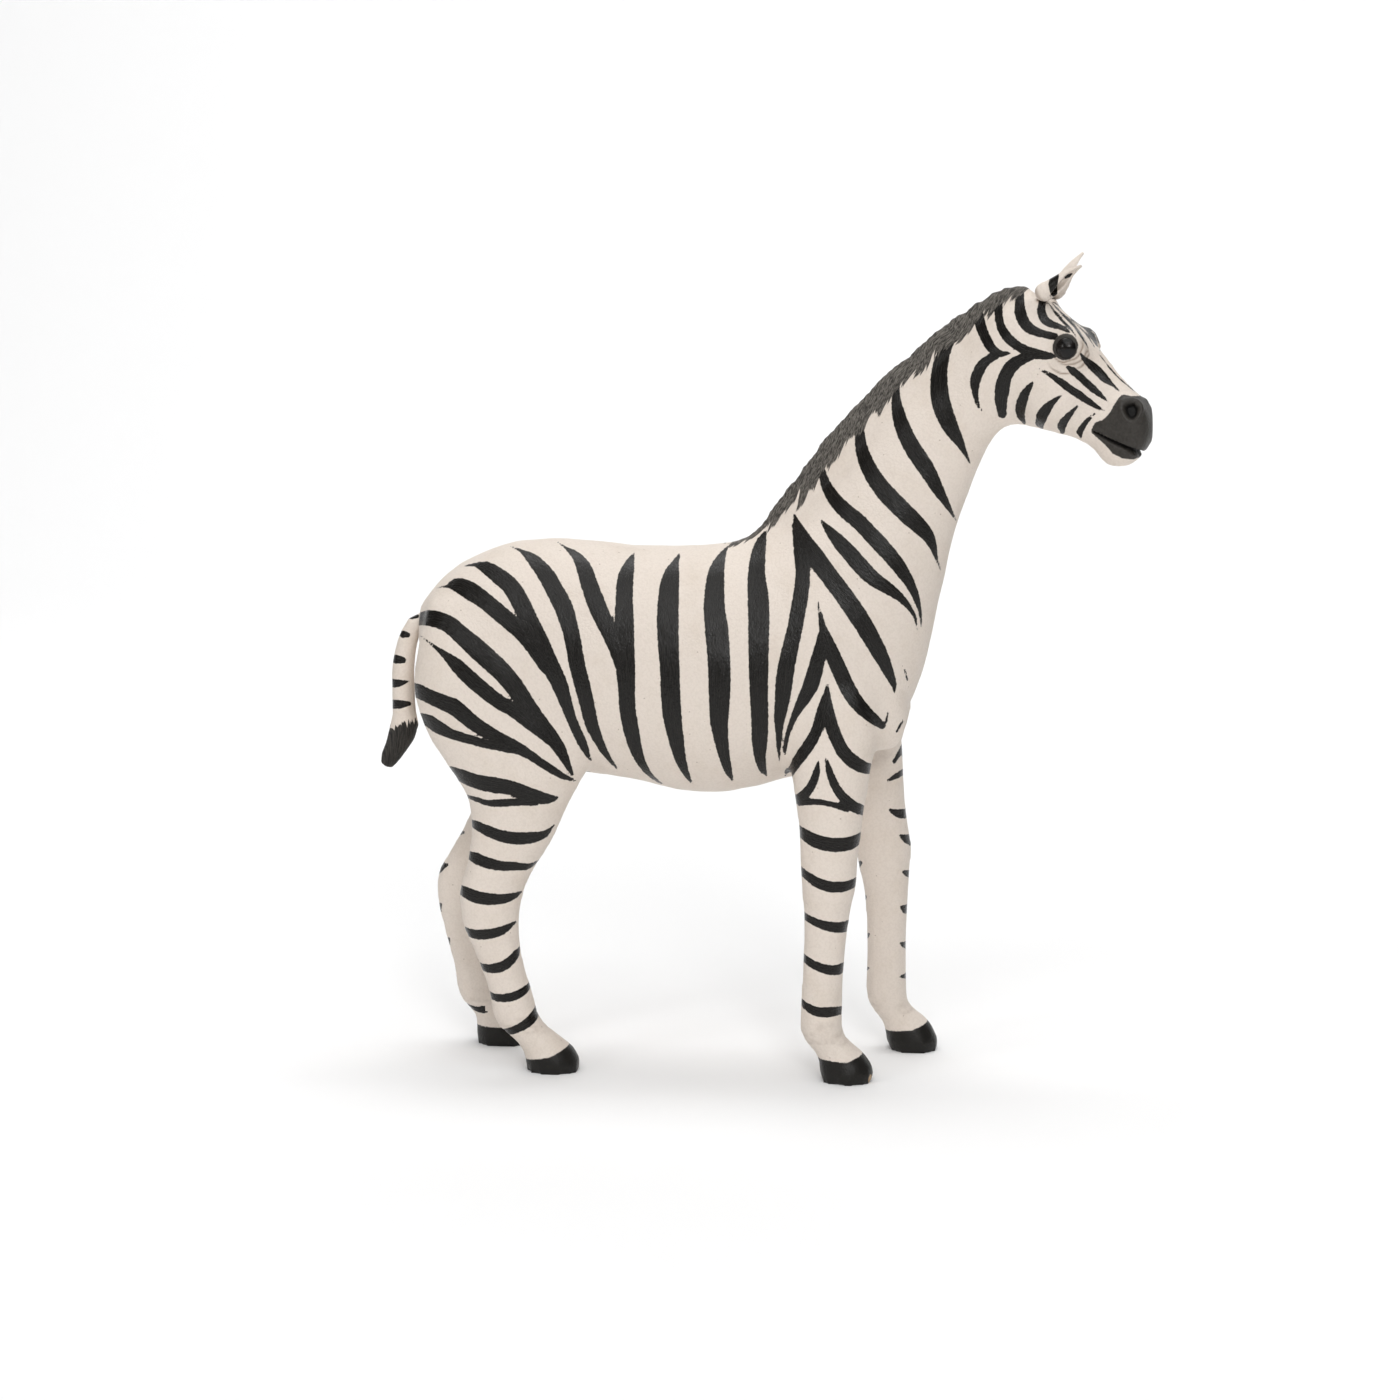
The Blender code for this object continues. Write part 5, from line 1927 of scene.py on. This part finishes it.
class Ear(Piece):
    """An ear of curled leather, with a dark band at its root and a spot."""

    sizes = EarSizes()

    def __init__(self, node: str, side: Side, drawing: Drawing, material: bpy.types.Material) -> None:
        """Keeps which ear it is."""
        super().__init__(node, drawing, material)
        self.side = side

    def frame(self, side: Side) -> tuple:
        """Where an ear stands and how it is turned.

        Args:
            side: Which ear.

        Returns:
            Its root's place and its turn, as arrays.
        """
        sizes = self.sizes
        lean = sizes.lean_right if side is Side.RIGHT else sizes.lean_left
        turn = (
            Matrix.Rotation(HEAD_TURN, 3, "Z") @ Matrix.Rotation(-side.value * sizes.lean_out, 3, "X")
            @ Matrix.Rotation(lean, 3, "Y")
            @ Matrix.Rotation(side.value * sizes.opens_to, 3, "Z")
        )
        return self.drawing.twin(EAR_PLACE, side), np.array(turn)

    def build(self) -> None:
        """Builds the ear from a copy of its CAD node and paints it."""
        sizes = self.sizes
        self.thing = cad_copy(self.node, self.node + "_leather")
        remesh(self.thing, sizes.voxel)
        smooth_out(self.thing, sizes.smoothing, np.ones(len(self.thing.data.vertices)))
        points, _ = self.places()
        place, turn = self.frame(self.side)
        local = (points - place) @ turn
        right_place, right_turn = self.frame(Side.RIGHT)
        own = local * (1, -1, 1) if self.side is Side.LEFT else local
        places = self.drawing.seen(own @ right_turn.T + right_place)
        self.push(sizes.dent_depth * noise_at(points, *sizes.dents))
        marks = self.drawing.marks(places, EAR_STROKES)
        out = np.array(Matrix.Rotation(HEAD_TURN, 3, "Z") @ Vector((0, self.side.value, 0)))
        shows = normals_of(self.thing) @ out > sizes.turned_away
        depth = np.where(shows, marks.depth, -self.drawing.stroke_reach)
        root = np.exp(-(((local[:, 2] - sizes.root_height) / sizes.root_width) ** 2))
        store(self.thing, "coat", depth)
        store(self.thing, "brush", marks.lines)
        # Painted shade round the root, where the ear meets the head.
        store(self.thing, "crease", sizes.root_painted_shade * root)
        store(self.thing, "hair", np.zeros((len(points), 3)))
        store(self.thing, "hollow", np.zeros(len(points)))
        self.keep_empty("mane", "muzzle", "hoof", "bare")
        self.dress(Finish.EAR)


class Eye(Piece):
    """A dark glass eye that bulges a little to the front."""

    bulge = 0.15
    segments = 48
    rings = 32

    def __init__(self, node: str, side: Side, drawing: Drawing, material: bpy.types.Material) -> None:
        """Keeps where the eye sits."""
        super().__init__(node, drawing, material)
        self.frame = EyeFrame(drawing, side)

    def build(self) -> None:
        """Turns a ball's pole outward, bulges it and dresses it."""
        bpy.ops.object.select_all(action="DESELECT")
        bpy.ops.mesh.primitive_uv_sphere_add(
            segments=self.segments, ring_count=self.rings, radius=EYE_RADIUS * MM,
        )
        self.thing = bpy.context.object
        self.thing.name = self.node + "_glass"
        turn = Vector((0, 0, 1)).rotation_difference(Vector(self.frame.out)).to_matrix()
        points = points_of(self.thing) / MM @ np.array(turn).T
        height = points @ self.frame.out
        points += np.outer(self.bulge * eased(height, 0, EYE_RADIUS), self.frame.out)
        move_points(self.thing, (points + self.frame.centre + self.drawing.shift) * MM)
        self.dress(Finish.EYE)


@dataclass(frozen=True)
class Light:
    """A soft area light.

    Attributes:
        name: Its name.
        place: Where it stands, in metres.
        size: The side of its square, in metres.
        power: Its power in watts.
        aim: Where it points, in metres.
    """

    name: str
    place: tuple
    size: float
    power: float
    aim: tuple = (-0.02, 0.0, 0.20)


class Studio:
    """The pale floor, the soft lights and the camera."""

    floor_side = 8.0
    floor_back = 3.0
    wall_height = 4.0
    sweep = 1.2
    sweep_segments = 16
    floor_colour = (0.92, 0.92, 0.92, 1)
    floor_roughness = 0.9
    world_glow = 0.14
    world_seen = 0.9
    lights = (
        Light("overhead", (0.0, -0.8, 4.0), 5.0, 98),
        Light("front", (0.7, -2.6, 1.4), 0.6, 17),
        Light("far_front", (0.0, -4.8, 4.0), 4.0, 80),
        Light("side", (-2.0, -1.8, 1.2), 0.6, 8),
        Light("wall", (0.0, 0.9, 3.2), 2.0, 47, (0.0, 3.0, 0.9)),
    )

    def __init__(self, drawing: Drawing) -> None:
        """Keeps the drawing, whose camera it sets up."""
        self.drawing = drawing

    def build(self) -> None:
        """Builds the floor, the light and the camera."""
        self.lay_floor()
        self.light()
        self.stand_camera()

    def lay_floor(self) -> None:
        """Lays a plain pale floor that sweeps up into a wall far behind the figure."""
        bpy.ops.object.select_all(action="DESELECT")
        middle = self.floor_back - self.floor_side / 2
        bpy.ops.mesh.primitive_plane_add(size=self.floor_side, location=(0, middle, 0))
        floor = bpy.context.object
        floor.name = "floor"
        bpy.ops.object.transform_apply(location=True)
        for edge in floor.data.edges:
            edge.select = all(floor.data.vertices[i].co.y > self.floor_back - MM for i in edge.vertices)
        for face in floor.data.polygons:
            face.select = False
        for vertex in floor.data.vertices:
            vertex.select = vertex.co.y > self.floor_back - MM
        bpy.ops.object.mode_set(mode="EDIT")
        bpy.ops.mesh.select_mode(type="EDGE")
        bpy.ops.mesh.extrude_region_move(TRANSFORM_OT_translate={"value": (0, 0, self.wall_height)})
        bpy.ops.object.mode_set(mode="OBJECT")
        for edge in floor.data.edges:
            edge.select = all(
                floor.data.vertices[i].co.y > self.floor_back - MM and floor.data.vertices[i].co.z < MM
                for i in edge.vertices
            )
        bpy.ops.object.mode_set(mode="EDIT")
        bpy.ops.mesh.bevel(offset=self.sweep, segments=self.sweep_segments)
        bpy.ops.object.mode_set(mode="OBJECT")
        bpy.ops.object.shade_smooth()
        material = bpy.data.materials.new("pale_floor")
        material.use_nodes = True
        principled = material.node_tree.nodes["Principled BSDF"]
        principled.inputs["Base Color"].default_value = self.floor_colour
        principled.inputs["Roughness"].default_value = self.floor_roughness
        floor.data.materials.append(material)

    def light(self) -> None:
        """Hangs the soft lights and brightens the surroundings."""
        for light in self.lights:
            bpy.ops.object.light_add(type="AREA", location=light.place)
            lamp = bpy.context.object
            lamp.name = light.name
            lamp.data.energy = light.power
            lamp.data.size = light.size
            away = Vector(light.place) - Vector(light.aim)
            lamp.rotation_euler = away.to_track_quat("Z", "Y").to_euler()
        world = bpy.data.worlds.new("pale_surroundings")
        world.use_nodes = True
        shader = Shader(world.node_tree)
        white = (1, 1, 1, 1)
        glow = shader.add("ShaderNodeBackground", {"Color": white, "Strength": self.world_glow})
        seen = shader.add("ShaderNodeBackground", {"Color": white, "Strength": self.world_seen})
        to_camera = shader.add("ShaderNodeLightPath").outputs["Is Camera Ray"]
        mixed = shader.add("ShaderNodeMixShader", {0: to_camera, 1: glow.outputs[0], 2: seen.outputs[0]})
        shader.add("ShaderNodeOutputWorld", {"Surface": mixed.outputs[0]})
        bpy.context.scene.world = world
        bpy.context.scene.view_settings.view_transform = "Standard"

    def stand_camera(self) -> None:
        """Stands the camera where the photo's was."""
        place = self.drawing.to_frame(CAMERA_PLACE)
        aim = self.drawing.to_frame(CAMERA_TARGET)
        bpy.ops.object.camera_add(location=place)
        camera = bpy.context.object
        camera.rotation_euler = (place - aim).to_track_quat("Z", "Y").to_euler()
        camera.data.lens = CAMERA_LENS
        camera.data.sensor_width = CAMERA_SENSOR
        bpy.context.scene.camera = camera


def main() -> None:
    """Loads the CAD frame, and builds each piece and the studio."""
    logging.basicConfig(level=logging.INFO, format="%(message)s")
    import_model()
    drawing = Drawing()
    materials = Materials()
    body_leather = materials.painted_leather(BODY_COAT)
    tail_leather = materials.painted_leather(TAIL_COAT)
    ear_leather = materials.painted_leather(EAR_COAT)
    glass = materials.eye_glass()
    pieces = [
        BodySkin(drawing, body_leather),
        Tail("tail", drawing, tail_leather),
        Ear("ear_right", Side.RIGHT, drawing, ear_leather),
        Ear("ear_left", Side.LEFT, drawing, ear_leather),
        Eye("eye_right", Side.RIGHT, drawing, glass),
        Eye("eye_left", Side.LEFT, drawing, glass),
    ]
    for piece in pieces:
        piece.build()
    Studio(drawing).build()


if __name__ == "__main__":
    main()
